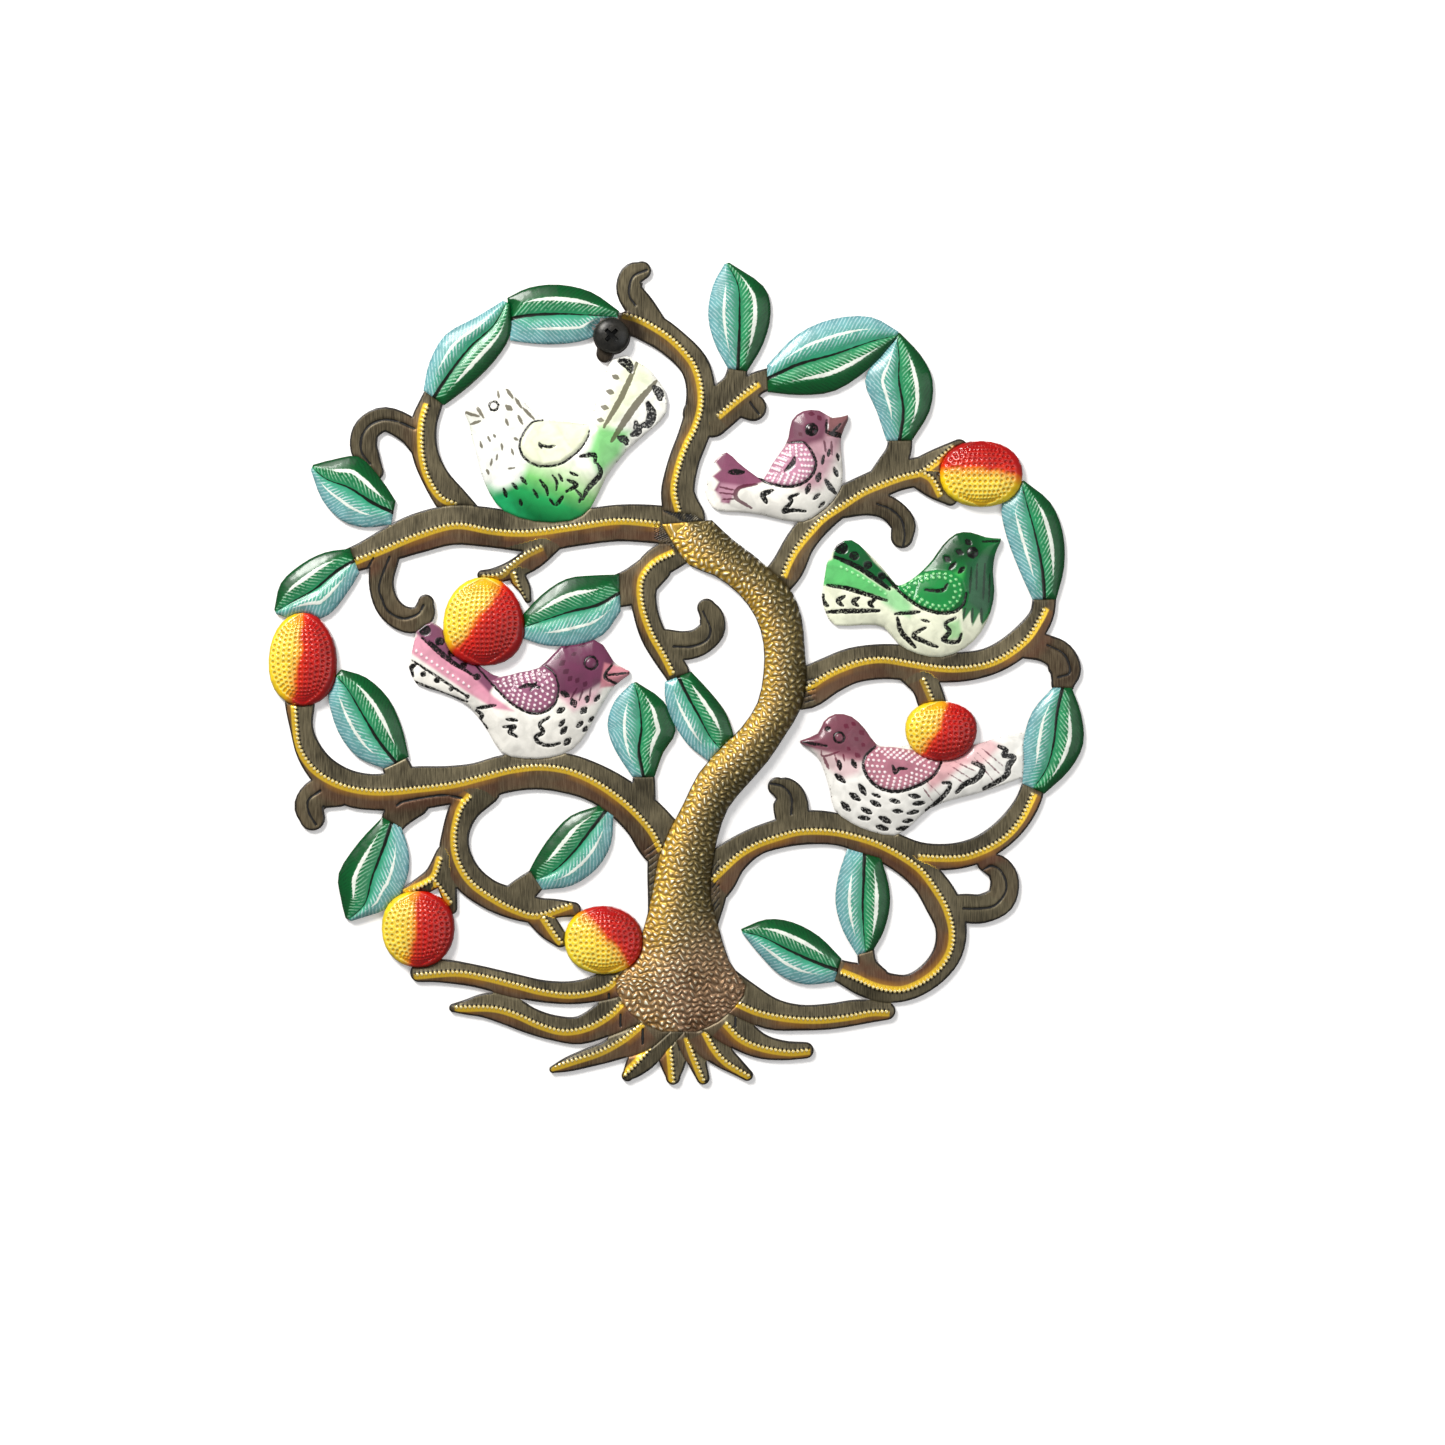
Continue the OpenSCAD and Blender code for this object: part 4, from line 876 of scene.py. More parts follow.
# Egg centre and half sizes, a point on the colour line and the way towards the yellow
fruitEggs = {
    "fruit_left": (-127, 4.7, 11.6, 15.8, (-128, 5), (-1, 0.12)),
    "fruit_mid_left": (-65.5, 17.5, 13.8, 15.1, (-67, 18), (-0.8, 0.6)),
    "fruit_right_upper": (103.5, 67.7, 14.1, 11.3, (104, 69), (-0.1, -1)),
    "fruit_right": (89.9, -19.7, 12.2, 10.2, (88, -19.7), (-0.9, 0.45)),
    "fruit_low_left": (-87.8, -87, 12.4, 13, (-88.5, -87), (-1, 0.1)),
    "fruit_low_mid": (-24.8, -90.7, 13.3, 11.6, (-23.5, -89.5), (-0.75, -0.66)),
}


def dimplePlaces(centreX, centreZ, halfWide, halfHigh):
    places = []
    for m in np.arange(-0.92, 0.93, fruit["rowGap"] / halfWide):
        reach = halfHigh * math.sqrt(max(0, 1 - 0.25 * m * m))
        steps = int(2 * 1.35 * reach / fruit["dotGap"])
        for angle in np.linspace(-1.35, 1.35, steps):
            places.append((centreX + m * halfWide * math.cos(angle), centreZ + reach * math.sin(angle)))
    return np.array(places)


def fruitShape(name):
    centreX, centreZ, halfWide, halfHigh, onLine, towards = fruitEggs[name]
    dots = dimplePlaces(centreX, centreZ, halfWide * 0.93, halfHigh * 0.96)
    way = np.array(towards) / math.hypot(*towards)

    def shape(points, rim):
        reach = np.hypot(points[:, 0] - centreX, points[:, 1] - centreZ)
        share = reach / (reach + rim + 0.01)
        dot = np.full(len(points), 99.0)
        for place in dots:
            dot = np.minimum(dot, np.hypot(points[:, 0] - place[0], points[:, 1] - place[1]))
        height = fruit["relief"] * np.sqrt(np.clip(1 - share ** 2, 0, 1))
        height -= fruit["dimple"] * np.exp(-(dot / fruit["dimpleWide"]) ** 2) * soften(rim, 0.3, 1.5)
        side = (points - np.array(onLine)) @ way
        bulge = 0.1 * ((points - np.array(onLine)) @ np.array([-way[1], way[0]])) ** 2 / halfHigh
        return np.maximum(height, 0), dict(skin=np.stack([side - bulge * 0.6, dot, rim], 1))

    return shape


def makeFruitPaint():
    material, tree, shader, place = newMaterial("fruitPaint")
    shader.inputs["Coat Weight"].default_value = 0.2
    shader.inputs["Specular IOR Level"].default_value = 0.35
    side, dot, rim = split(tree, noted(tree, "skin", "Vector"))[:3]
    cloud = noise(tree, place, 160.0, (1, 1, 1), 3.0, 0.6)
    side = calc(tree, "ADD", side, calc(tree, "MULTIPLY", calc(tree, "SUBTRACT", cloud, 0.5), 4.0))
    ripe = calc(tree, "ADD", calc(tree, "MULTIPLY", side, 0.045), 0.5)
    colour = tones(tree, ripe, [(0.0, paint(150, 0, 0)), (0.36, paint(186, 4, 2)),
                                (0.46, paint(212, 40, 4)), (0.54, paint(240, 150, 8)),
                                (0.64, paint(252, 204, 8)), (1.0, paint(252, 222, 40))])
    yellow = span(tree, ripe, 0.47, 0.56)
    pit = span(tree, dot, 0.62, 0.3)
    colour = lay(tree, calc(tree, "MULTIPLY", calc(tree, "MULTIPLY", pit, yellow), 0.5), colour,
                 paint(206, 124, 8))
    # Painted highlights ring each dimple: pale yellow on the yellow side, light red on the red side
    ring = calc(tree, "MULTIPLY", span(tree, dot, 0.45, 0.7), span(tree, dot, 1.05, 0.8))
    colour = lay(tree, calc(tree, "MULTIPLY", calc(tree, "MULTIPLY", ring, yellow), 0.45), colour,
                 paint(255, 248, 150))
    dull = calc(tree, "SUBTRACT", 1.0, yellow)
    colour = lay(tree, calc(tree, "MULTIPLY", calc(tree, "MULTIPLY", ring, dull), 0.22), colour,
                 paint(240, 80, 60))
    worn = useGroup(tree, paintWear, Vector=place, Colour=colour, Rim=rim)
    height = calc(tree, "SUBTRACT", calc(tree, "MULTIPLY", worn["Height"], 0.3), pit)
    overBack(tree, shader, place, worn["Colour"], worn["Roughness"], 0.0, height, 0.18 * mm)
    return material


fruitPaint = makeFruitPaint()
for name in fruitEggs:
    raiseSheet(name, fruitShape(name), fruitPaint, fruit["cell"])
print("fruits raised")


# Birds: soft washes of colour, then brush strokes, spots and rows of white stipple

bird = dict(relief=3.3, wingHigh=0.8, wingSoft=1.4, groove=0.2, dotPitch=2.05, dotSize=0.5, brushFull=0.16)
birds = {
    "bird_top_left": dict(
        line=[(-71.8, 88.8), (-69, 89), (-66, 88.2), (-62.5, 85.2), (-59.5, 80.5), (-56, 74.8),
              (-51.2, 70.8), (-43, 68.5), (-34.2, 68.3), (-29.2, 70.8), (-26.4, 77.2), (-22.1, 84.2),
              (-17, 90.8), (-13.5, 96), (-12.8, 101.2), (-13.2, 105.7)],
        base=(252, 251, 242), second=(78, 70, 40),
        washes=[("fade", (-38, 75), (-47, 53), [(0, (240, 250, 214), 0), (0.25, (206, 236, 176), 0.7),
                                                (0.5, (128, 208, 118), 1), (0.72, (40, 168, 90), 1),
                                                (1, (0, 112, 56), 1)]),
                ("area", [(-71, 86), (-52, 84), (-50, 72), (-53, 65), (-62, 61), (-69, 66)],
                 (250, 251, 244), 4, 1),
                ("area", [(-64, 64), (-57, 60), (-50, 52), (-62, 54)], (34, 176, 106), 5, 0.8),
                ("area", [(-29, 80), (-22, 83), (-8, 99), (-12, 107), (-18, 105), (-25, 88)],
                 (238, 244, 208), 3, 0.8),
                ("area", [(-27, 84), (-16, 82), (-19, 74), (-26, 67), (-30, 74)], (120, 214, 116), 4, 0.9)],
        wing=[(-45.5, 85.8), (-49, 85), (-52, 81), (-53.2, 77), (-52, 73.5), (-49, 71), (-45, 70),
              (-39, 71), (-33, 75.5), (-30, 80), (-29.3, 84.5), (-37, 85.4)],
        wingColour=(240, 245, 214), outline=(0.42, [(-45.5, 85.8), (-49, 85), (-52, 81), (-53.2, 77),
                                                    (-52, 73.5), (-49, 71), (-45, 70), (-39, 71),
                                                    (-33, 75.5), (-30, 80), (-29.5, 82.3)]),
        rows=(), eye=(-62, 90.6, 1.8, "ring"),
        ink=[(0.45, [(-46.5, 78), (-45.6, 76.2)]), (0.4, [(-46.2, 77.4), (-43.5, 76.6), (-41.2, 77)]),
             (0.5, [(-46.2, 65.4), (-44.1, 62.4), (-43.7, 60.3)]),
             (0.6, [(-36.9, 65.4), (-33.9, 63.7), (-37.3, 61.5)]),
             (0.6, [(-38.6, 59.8), (-40.7, 56.9)]), (0.7, [(-32.6, 73.4), (-28, 73.9), (-27.5, 71.3)]),
             (0.8, [(-26.7, 70.9), (-25.8, 67.5), (-30.1, 62.4), (-31.8, 59)]),
             (0.6, [(-58.6, 62.4), (-57.7, 59.8)]), (0.5, [(-55.6, 64.1), (-53.9, 62.4)]),
             (0.35, [(-42, 67), (-40.5, 64.5), (-40.8, 62)]), (0.35, [(-39.8, 67.2), (-38.6, 65)]),
             (0.35, [(-36, 68), (-33.5, 66.8)]), (0.4, [(-34, 62), (-32.4, 60), (-33, 58)]),
             (0.35, [(-48.5, 62), (-47, 59.5)]), (0.35, [(-43, 59), (-41.5, 57)]),
             (0.5, [(-52.6, 66.2), (-50.9, 64.1)]), (0.5, [(-53, 58.6), (-52.6, 56.9)]),
             (1.5, [(-9.8, 91.5), (-8.4, 88), (-9.4, 84.8), (-11.5, 84)]),
             (1.3, [(-13.8, 85), (-13.2, 82), (-15, 80.8)]),
             (1.2, [(-19.6, 79.8), (-17.5, 79), (-17, 77.8)]),
             (1.4, [(-7.6, 97), (-5.8, 95), (-5.6, 93)]),
             (1.5, [(-19.2, 106), (-16.5, 104.8), (-15.6, 102.6)])],
        spots=[],
        tint=[(0.55, [(-72.2, 88.7), (-67, 87)]), (0.55, [(-68.4, 91.3), (-65.4, 86.6)]),
              (0.55, [(-70, 84.5), (-66.6, 85.4)]), (0.45, [(-60.7, 96), (-60.3, 93.4)]),
              (0.6, [(-57.7, 96.4), (-55.6, 93.4)]), (0.6, [(-54.8, 93.4), (-52.6, 90)]),
              (0.55, [(-52.2, 90), (-48.4, 86.2)]), (0.55, [(-53.9, 87.5), (-52.2, 84.5)]),
              (0.5, [(-58, 86.2), (-57.1, 84)]), (1.0, [(-57.8, 90.6), (-56, 89.4)]),
              (0.5, [(-66, 93.2), (-64.8, 94.4)]),
              (0.4, [(-62, 81), (-61.4, 79.8)]), (0.45, [(-64, 80.2), (-63.2, 78.5)]),
              (0.5, [(-66.6, 78.5), (-66, 76.4)]),
              (0.45, [(-59.4, 77.7), (-59, 75.6)]), (0.45, [(-56, 76), (-55.2, 73.9)]),
              (0.4, [(-60.7, 74.3), (-61.1, 72.2)]),
              (0.4, [(-62.6, 72.6), (-63.1, 70)]), (0.5, [(-64.5, 69.2), (-63.7, 67.5)]),
              (0.4, [(-57.3, 69.2), (-54.7, 69.6)]),
              (0.6, [(-55.2, 79.8), (-53.8, 79)]), (1.0, [(-24.6, 83.4), (-18.5, 94), (-13.2, 106)]),
              (1.2, [(-22, 78.6), (-14.5, 90), (-7, 99)]), (0.8, [(-26.6, 86), (-24.8, 85.6)]),
              (0.9, [(-25.4, 90.4), (-23.4, 89.9)]), (0.9, [(-23.6, 95.8), (-21.4, 95)]),
              (0.9, [(-21.6, 101), (-19.6, 100)])]),
    "bird_top_mid": dict(
        line=[(58.3, 86.8), (54.5, 83.6), (52.2, 82.1), (49.8, 79), (47.6, 74.7), (45.5, 69.2),
              (42.2, 65.2), (37.8, 61.2), (32.8, 59), (27.2, 60.9), (21, 63.1), (15.5, 65.1),
              (12, 65.5), (10.3, 65)],
        base=(244, 241, 232), second=(84, 24, 46),
        washes=[("area", [(36, 76), (38, 90), (50, 91), (57, 88), (58, 82), (55, 75), (52, 68), (49, 63),
                          (45, 62), (38, 64)],
                 (186, 130, 148), 5, 0.85),
                ("area", [(36, 78), (38, 90), (50, 91), (52, 84), (50, 79), (44, 77)], (112, 62, 82), 3,
                 0.95),
                ("area", [(51, 80.5), (52, 87.5), (59, 88.5), (58.5, 84), (57, 79.5)], (126, 84, 86), 0.6,
                 1),
                ("area", [(17.2, 75.5), (13, 72), (15, 69), (12.2, 66.8), (14.4, 64.8), (12.8, 62),
                          (15.4, 60),
                          (15, 58), (18, 57.4), (19.5, 62), (26, 63.6), (29.8, 65.1), (25, 71), (20.5, 74)],
                 (136, 78, 104), 0.9, 1),
                ("area", [(15, 64.5), (22, 63.6), (20, 60), (16, 57.5), (13.5, 61)], (196, 148, 166), 1.5,
                 0.8)],
        wing=[(38.3, 78.2), (43.1, 78.1), (45.8, 75), (47.3, 70.9), (45.8, 66.8), (42.4, 64.1),
              (37.6, 63.1),
              (32.2, 64.1), (29.4, 65.6), (31.6, 70), (35, 75)],
        wingColour=(196, 138, 162), outline=(0.5, [(38.3, 78.2), (43.1, 78.1), (45.8, 75), (47.3, 70.9),
                                                   (45.8, 66.8), (42.4, 64.1), (37.6, 63.1), (32.2, 64.1),
                                                   (29.8, 65.1), (26.5, 68), (24, 70.6)]),
        rows=(0.86, 0.72, 0.58, 0.44), eye=(45.8, 82.6, 2.3, "disc"),
        ink=[(0.75, [(51.2, 81.5), (56.7, 80.4)]), (0.3, [(53, 81.8), (55.7, 84.5)]),
             (0.35, [(51, 86), (50.8, 81.6)]),
             (0.8, [(40, 73), (39.3, 70.9), (37, 68.5)]), (0.9, [(17.9, 68.2), (22.7, 68.2)]),
             (0.45, [(49.9, 73.6), (49.5, 70.9)]), (0.4, [(51.9, 75.7), (51.5, 73.5)]),
             (0.45, [(54.6, 74.3), (55, 72.3)]),
             (0.6, [(53.6, 69.6), (54.6, 66.8)]), (0.9, [(48.5, 67.5), (47.8, 65.1)]),
             (0.8, [(50.6, 65.5), (51.9, 63.4), (54, 61.1)]), (0.8, [(45.1, 63.8), (44.1, 61.1)]),
             (0.5, [(48.5, 60.7), (46.5, 59)]), (0.45, [(50.2, 58), (48.5, 56.3)]),
             (0.55, [(41.4, 60.7), (38.3, 59.4), (39, 58), (36.3, 54.9), (39.5, 55.2), (43.8, 54.9)]),
             (0.9, [(32.6, 61.8), (29.4, 60.4), (30.5, 57.8)])],
        spots=[],
        tint=[(0.8, [(41, 86.4), (42.2, 85.2)]), (0.8, [(45, 88.2), (46.6, 87.8)]),
              (0.8, [(48, 87.2), (49, 86)]),
              (0.6, [(41.5, 81.5), (42.5, 80.5)]), (0.7,
                                                    [(27.4, 64.1), (21.3, 62.8), (20.3, 59.4), (25.4, 56)]),
              (0.45, [(52.5, 78.5), (52.8, 74)]), (0.4, [(50, 79), (50.6, 75)]),
              (0.3, [(14.5, 63.2), (19.6, 62)]),
              (0.3, [(14.4, 61.2), (19.4, 60.6)]), (0.3, [(15.4, 59), (19.6, 59)])]),
    "bird_right": dict(
        line=[(110.2, 45), (106.7, 43.4), (103.8, 41.1), (101.5, 37.7), (98.7, 32.2), (95.2, 26.2),
              (90.5, 21.4), (84.5, 18.3), (78.8, 18.1), (74.5, 20.6), (70, 25.9), (64.2, 28.8),
              (56.8, 30.7), (52.5, 32.2), (50.1, 31.5)],
        base=(242, 245, 218), second=(4, 40, 16), dots=(150, 222, 150),
        washes=[("area", [(73, 31), (79, 36), (84, 42), (90, 48), (97, 50), (104, 48), (112, 46), (110, 40),
                          (109, 33), (109, 25), (105.5, 18.5), (103.7, 16.2), (102.8, 20.5), (100.4, 15.8),
                          (99.6, 21), (97.2, 17.5), (96.8, 22), (94, 20.7), (88.5, 20.4), (83.1, 22.1),
                          (79, 24.8),
                          (74.9, 28.5)], (20, 112, 52), 0.5, 1),
                ("area", [(84, 42), (90, 48), (97, 50), (104, 48), (104, 40), (97, 38), (88, 36)],
                 (6, 62, 26), 6, 0.85),
                ("area", [(98, 37), (103, 40), (109, 40), (109, 24), (104, 20), (99, 24)], (34, 86, 56), 2,
                 0.8),
                ("area", [(92, 33), (98, 36), (97, 32)], (70, 190, 90), 2, 0.7),
                ("area", [(53, 38), (53.5, 46), (61, 46), (67, 38), (75, 30), (71, 28.5), (62, 35)],
                 (16, 92, 44), 1, 1),
                ("area", [(49, 30), (51, 38), (54, 39), (62, 34.5), (71, 28), (71.5, 25), (60, 28.5)],
                 (98, 196, 112), 1.2, 1),
                ("area", [(70, 28), (75, 29), (80, 23), (79, 19), (74, 21), (70, 24)], (120, 206, 130), 3,
                 0.8),
                ("area", [(91, 17), (96, 18), (97, 12), (92, 11)], (150, 214, 140), 2, 0.8)],
        wing=[(74.5, 30), (77, 26.5), (81, 23.5), (85, 21.3), (89, 20.3), (93, 20.5), (96.5, 23.5),
              (98, 27.5),
              (97, 31.5), (93, 34.5), (88, 35), (81, 33.5)],
        wingColour=(30, 138, 66), outline=(0.6, [(71.5, 32.5), (74.9, 28.5), (79, 24.8), (83.1, 22.1),
                                                 (88.5, 20.4),
                                                 (94, 20.7), (97.4, 23.4), (98.2, 27)]),
        rows=(0.84, 0.66), eye=(100.4, 40.8, 2.0, "disc"),
        ink=[(0.5, [(84.4, 28.2), (89.9, 27.9), (91.9, 30.2)]),
             (0.8, [(53.8, 39.4), (62, 35.7), (72.2, 28.5)]),
             (0.65, [(51.1, 29.9), (58.6, 28.5), (71.5, 24.5)]),
             (0.7, [(51.1, 20.7), (57, 21), (68.8, 21.1)]),
             (0.55, [(74.2, 20), (82.4, 20.7)]), (0.75, [(74.9, 18.7), (76.3, 13.9), (81, 8.8)]),
             (0.65, [(84.4, 15.3), (80.4, 12.9), (82.7, 11.2), (88.5, 8.8)]),
             (0.35, [(83, 18), (85.8, 17.3)]),
             (0.65, [(94.6, 18.7), (91.2, 16.6), (92.6, 13.9), (90.6, 11.2), (95.3, 10.5), (96.7, 13.2)]),
             (0.9, [(98.4, 45), (99.6, 43.8)]), (0.8, [(95.2, 41.4), (96.8, 40.6)]),
             (0.9, [(91.2, 39.2), (92.6, 38)]),
             (0.6, [(92.6, 35.3), (94.6, 37.4)]), (0.7, [(95.7, 34), (97.4, 35.7)]),
             (0.8, [(49.8, 26.6), (49.6, 24.6), (51.4, 22.8)]),
             (0.7, [(57, 26), (54.8, 24.6), (56.4, 22.8)]),
             (0.7, [(62, 25.6), (60, 24.2), (61.6, 22.8)]),
             (0.6, [(67.4, 24.8), (65.4, 23.6), (66.8, 22.4)]),
             (0.3, [(104, 44.6), (109.6, 44.8)])],
        spots=[(56, 42.4, 2.3), (60.3, 39.8, 1.7), (65, 36.6, 1.5), (69.8, 33, 1.4), (74.2, 29.6, 1.0)],
        tint=[(0.4, [(100, 36), (99.4, 27)]), (0.35, [(102, 37), (101.6, 28)]),
              (0.4, [(104.6, 37), (104, 24)]),
              (0.35, [(106.4, 34), (106, 24)]), (0.5, [(103.4, 22), (103.6, 17.2)]),
              (0.45, [(100.4, 22), (100.2, 17)]),
              (0.4, [(97.8, 22), (97.2, 18.4)])],
        stipple=[(56, 35.9), (57.9, 35), (59.8, 34), (61.7, 33), (63.6, 32), (65.5, 30.8), (67.4, 29.6),
                 (69.3, 28.2), (71, 26.8), (80, 31.5), (82.2, 32.6), (84.6, 33.4)]),
    "bird_left": dict(
        line=[(-16, 0.1), (-21.2, -0.1), (-24.8, 0), (-29.2, -1.2), (-34, -5.1), (-38.8, -9.8),
              (-45, -13.5),
              (-52.8, -14.4), (-59.8, -14.2), (-64.2, -9.6), (-68.5, -4.8), (-73.2, -0.7), (-79.5, 3.4),
              (-85.8, 7), (-89.8, 8)],
        base=(246, 243, 234), second=(70, 22, 46),
        washes=[("area", [(-47, 3), (-40, 12), (-32, 14), (-24, 12), (-20, 5), (-24, -3), (-29, -6),
                          (-36, -9), (-41, -7)],
                 (108, 54, 82), 2.6, 1),
                ("area", [(-24.5, 3.5), (-14, 1), (-14, -1), (-21, -4.5), (-26, -5)], (206, 128, 140), 1,
                 0.95),
                ("area", [(-41, -7), (-33, -8), (-25, -4), (-28, -10), (-35, -13)], (222, 160, 178), 3,
                 0.75),
                ("area", [(-90, 15), (-86, 19), (-77, 14), (-66, 4), (-60, -1), (-64, -8), (-72, -3),
                          (-80, 4)],
                 (126, 74, 100), 1.5, 1),
                ("area", [(-92, 8), (-88, 13), (-78, 4.5), (-69, -1), (-62, -8), (-55, -13), (-62, -12),
                          (-71, -6.5)],
                 (222, 150, 172), 1.2, 0.95)],
        wing=[(-62.6, -2.5), (-57.4, -0.4), (-51.5, 0.9), (-44.7, 2.2), (-41.3, -0.4), (-40, -5.5),
              (-41.3, -10.6),
              (-45.6, -13.6), (-50.7, -13.2), (-55.8, -10.6), (-60, -6.4)],
        wingColour=(150, 92, 120), outline=(0.4, [(-44.5, 2.3), (-41.3, -0.4), (-40, -5.5), (-41.3, -10.6),
                                                  (-45.6, -13.6), (-50.7, -13.3), (-56.6, -9.8),
                                                  (-61.7, -4.7),
                                                  (-68.5, 3)]),
        rows=(0.84, 0.66, 0.48, 0.3), eye=(-29, 3.4, 2.4, "ring"),
        ink=[(0.3, [(-24.3, -0.8), (-16, 0.1)]), (0.4, [(-21.8, 3), (-24.3, -1.3), (-20, -3.8)]),
             (0.6, [(-53.2, -4.9), (-50, -4.2), (-46.4, -4.8)]), (0.35, [(-49.5, -5.8), (-47.5, -3.2)]),
             (0.5, [(-86.4, 11.9), (-77.9, 4.7), (-69.4, -0.4)]),
             (0.35, [(-84, 10.8), (-76, 4), (-68, -1.6)]),
             (0.3, [(-89.8, 4.3), (-71, -8)]), (0.35, [(-89.8, -2.5), (-80, -6.6), (-71, -9.8)]),
             (0.8, [(-88.6, 3), (-90.4, 1.4), (-89.6, -1)]), (0.5, [(-67.7, -11.9), (-61.3, -11)]),
             (0.6, [(-68, -12.7), (-66, -14.4), (-66.8, -16.1), (-64.3, -18.7)]),
             (0.5, [(-57.5, -15.7), (-54, -16.1)]),
             (0.6, [(-58.7, -18.3), (-54.9, -18.3), (-56.6, -20), (-54, -21.7)]),
             (0.6, [(-43, -14.9), (-46.4, -17.4), (-45.1, -20), (-47.7, -21.7), (-46.4, -23.8),
                    (-43, -24.6),
                    (-39.6, -23.8)]),
             (0.9, [(-38.9, -6.6), (-36.6, -7.8)]), (1.1, [(-35.3, -9.2), (-34.4, -11.2)]),
             (0.7, [(-30.2, -8), (-30.4, -9.8)]), (0.6, [(-26.2, -7.6), (-27.6, -9.4)]),
             (1.0, [(-30.8, -12), (-32.2, -13.4)]), (0.9, [(-38.2, -12.2), (-40.2, -13.2)]),
             (0.8, [(-32, -16.6), (-33.6, -18.2)]), (0.7, [(-38, -16), (-39.6, -18)]),
             (0.9, [(-37.4, -18.6), (-39, -20.4)]),
             (0.6, [(-30.6, -18.4), (-31.6, -19.8)]), (1.0, [(-36.2, -22.4), (-37.8, -24.2)]),
             (0.6, [(-28.4, -15), (-29.6, -16.4)])],
        spots=[(-85.5, 14.5, 2.0), (-80.4, 10.7, 1.6), (-76.2, 6.8, 1.5), (-72.3, 2.6, 1.2),
               (-67.7, -1.3, 1.3),
               (-86, -0.4, 1.0), (-81.3, -2.5, 1.1), (-76.6, -5.5, 0.8), (-71, -8, 0.9)],
        tint=[(0.9, [(-41.2, 5), (-39.8, 6.2)]), (0.9, [(-39.6, 2.8), (-38, 4)]),
              (0.9, [(-38.2, 0), (-36.8, 1)]),
              (0.6, [(-35.6, 6), (-34.2, 6.8)]), (0.8, [(-36.6, -2.4), (-35.6, -1.4)]),
              (0.8, [(-34, -3), (-33.2, -2)]),
              (0.8, [(-31.4, -4.4), (-30.6, -3.2)]), (0.6, [(-33, 9), (-31, 9.8)]),
              (0.5, [(-38, 8.4), (-36.6, 9.4)]),
              (0.35, [(-33.6, -5), (-36, -9)]), (0.35, [(-31.6, -5.4), (-33, -9.4)]),
              (0.35, [(-29, -5), (-29.6, -8.8)])],
        stipple=[(-88.4, 7.4), (-86.6, 6.2), (-84.8, 5), (-83, 3.8), (-81.2, 2.6), (-79.4, 1.4),
                 (-77.6, 0.2),
                 (-75.8, -1), (-74, -2.2), (-72.2, -3.4), (-70.4, -4.6)]),
    "bird_low_right": dict(
        line=[(42, -23.4), (47.8, -24.2), (50, -24.8), (53, -26.7), (56.6, -30.6), (61.8, -35), (67, -39),
              (74, -40), (80, -38), (86.5, -35), (94, -33.5), (101.8, -32.6), (109.5, -30.1), (119, -27.4)],
        base=(247, 245, 238), second=(96, 26, 50),
        washes=[("area", [(41, -22), (48, -17), (51, -13.5), (56, -12.5), (61, -14), (65, -18), (69, -24),
                          (66, -27),
                          (63, -30), (58, -29.5), (53, -27.5), (47, -26), (41.5, -24.2)], (122, 70, 84),
                 1.6, 1),
                ("area", [(47, -26), (53, -27), (63, -29), (62, -34), (56, -36), (51, -32)],
                 (206, 150, 160), 3, 0.6),
                ("area", [(84, -26), (90, -24), (100, -26), (99, -30), (92, -36), (86, -40), (84, -34)],
                 (214, 146, 154), 3, 0.8),
                ("area", [(96, -22), (107, -22), (110, -25), (104, -31), (98, -31)], (222, 162, 168), 3,
                 0.7)],
        wing=[(67.8, -24.9), (74, -25.2), (80.5, -26.2), (85.6, -28.3), (89.9, -30.4), (87.3, -34.7),
              (82.2, -38),
              (75.4, -40.2), (69.5, -39.3), (65.2, -35.9), (63.3, -31.3), (64.4, -27.9)],
        wingColour=(178, 116, 132), outline=(0.55, [(89.9, -30.4), (87.3, -34.7), (82.2, -38),
                                                    (75.4, -40.2),
                                                    (69.5, -39.3), (65.2, -35.9), (63.3, -31.3),
                                                    (64.4, -27.9),
                                                    (67.5, -25)]),
        rows=(0.88, 0.74, 0.6, 0.46), eye=(55.2, -21.9, 2.0, "ring"),
        ink=[(0.5, [(73.3, -31.3), (74.1, -33.8), (75.6, -32.4), (78, -32.5)]),
             (0.35, [(43, -23.4), (51, -24.8)]),
             (0.65, [(90.3, -37.2), (92.8, -37.6), (91.6, -40.6), (88.2, -44), (84.8, -46.6)]),
             (0.9, [(100.5, -30.4), (103.9, -32.1), (102.2, -35.5), (97.5, -38), (95, -40.6)]),
             (0.9, [(109.4, -24.9), (112, -26.2), (111.1, -27.9), (114.5, -28.7), (112.8, -31.3),
                    (112, -34.7),
                    (108, -37.4), (104.3, -39.3)]),
             (0.8, [(54, -34.5), (57, -37)]), (0.7, [(59.5, -29.5), (60.8, -32)]),
             (0.7, [(55, -30), (55.5, -32.5)]),
             (0.9, [(59, -41), (62, -43)]), (0.9, [(56.2, -44), (58.6, -46.6)]),
             (0.9, [(62, -38), (64, -41)]),
             (0.8, [(66, -43.5), (69, -45)]), (0.8, [(63, -46), (66, -47.5)]),
             (0.7, [(72.5, -43), (75.5, -43.8)]),
             (0.7, [(79, -41.5), (82.5, -42)]), (0.7, [(80.5, -44.5), (84, -44)]),
             (0.7, [(62, -49), (65.5, -49.5)]),
             (0.9, [(69, -49), (72.5, -50.5)]), (0.6, [(73.5, -46.8), (76.5, -47)]),
             (0.6, [(78.5, -47.6), (82, -47)]),
             (0.8, [(68, -52), (71.5, -53)]), (0.6, [(77, -50.4), (80, -50)]),
             (0.7, [(75, -53), (79, -52.6)]),
             (0.5, [(66.5, -41), (69, -42)])],
        spots=[(51.3, -18.9, 1.0)],
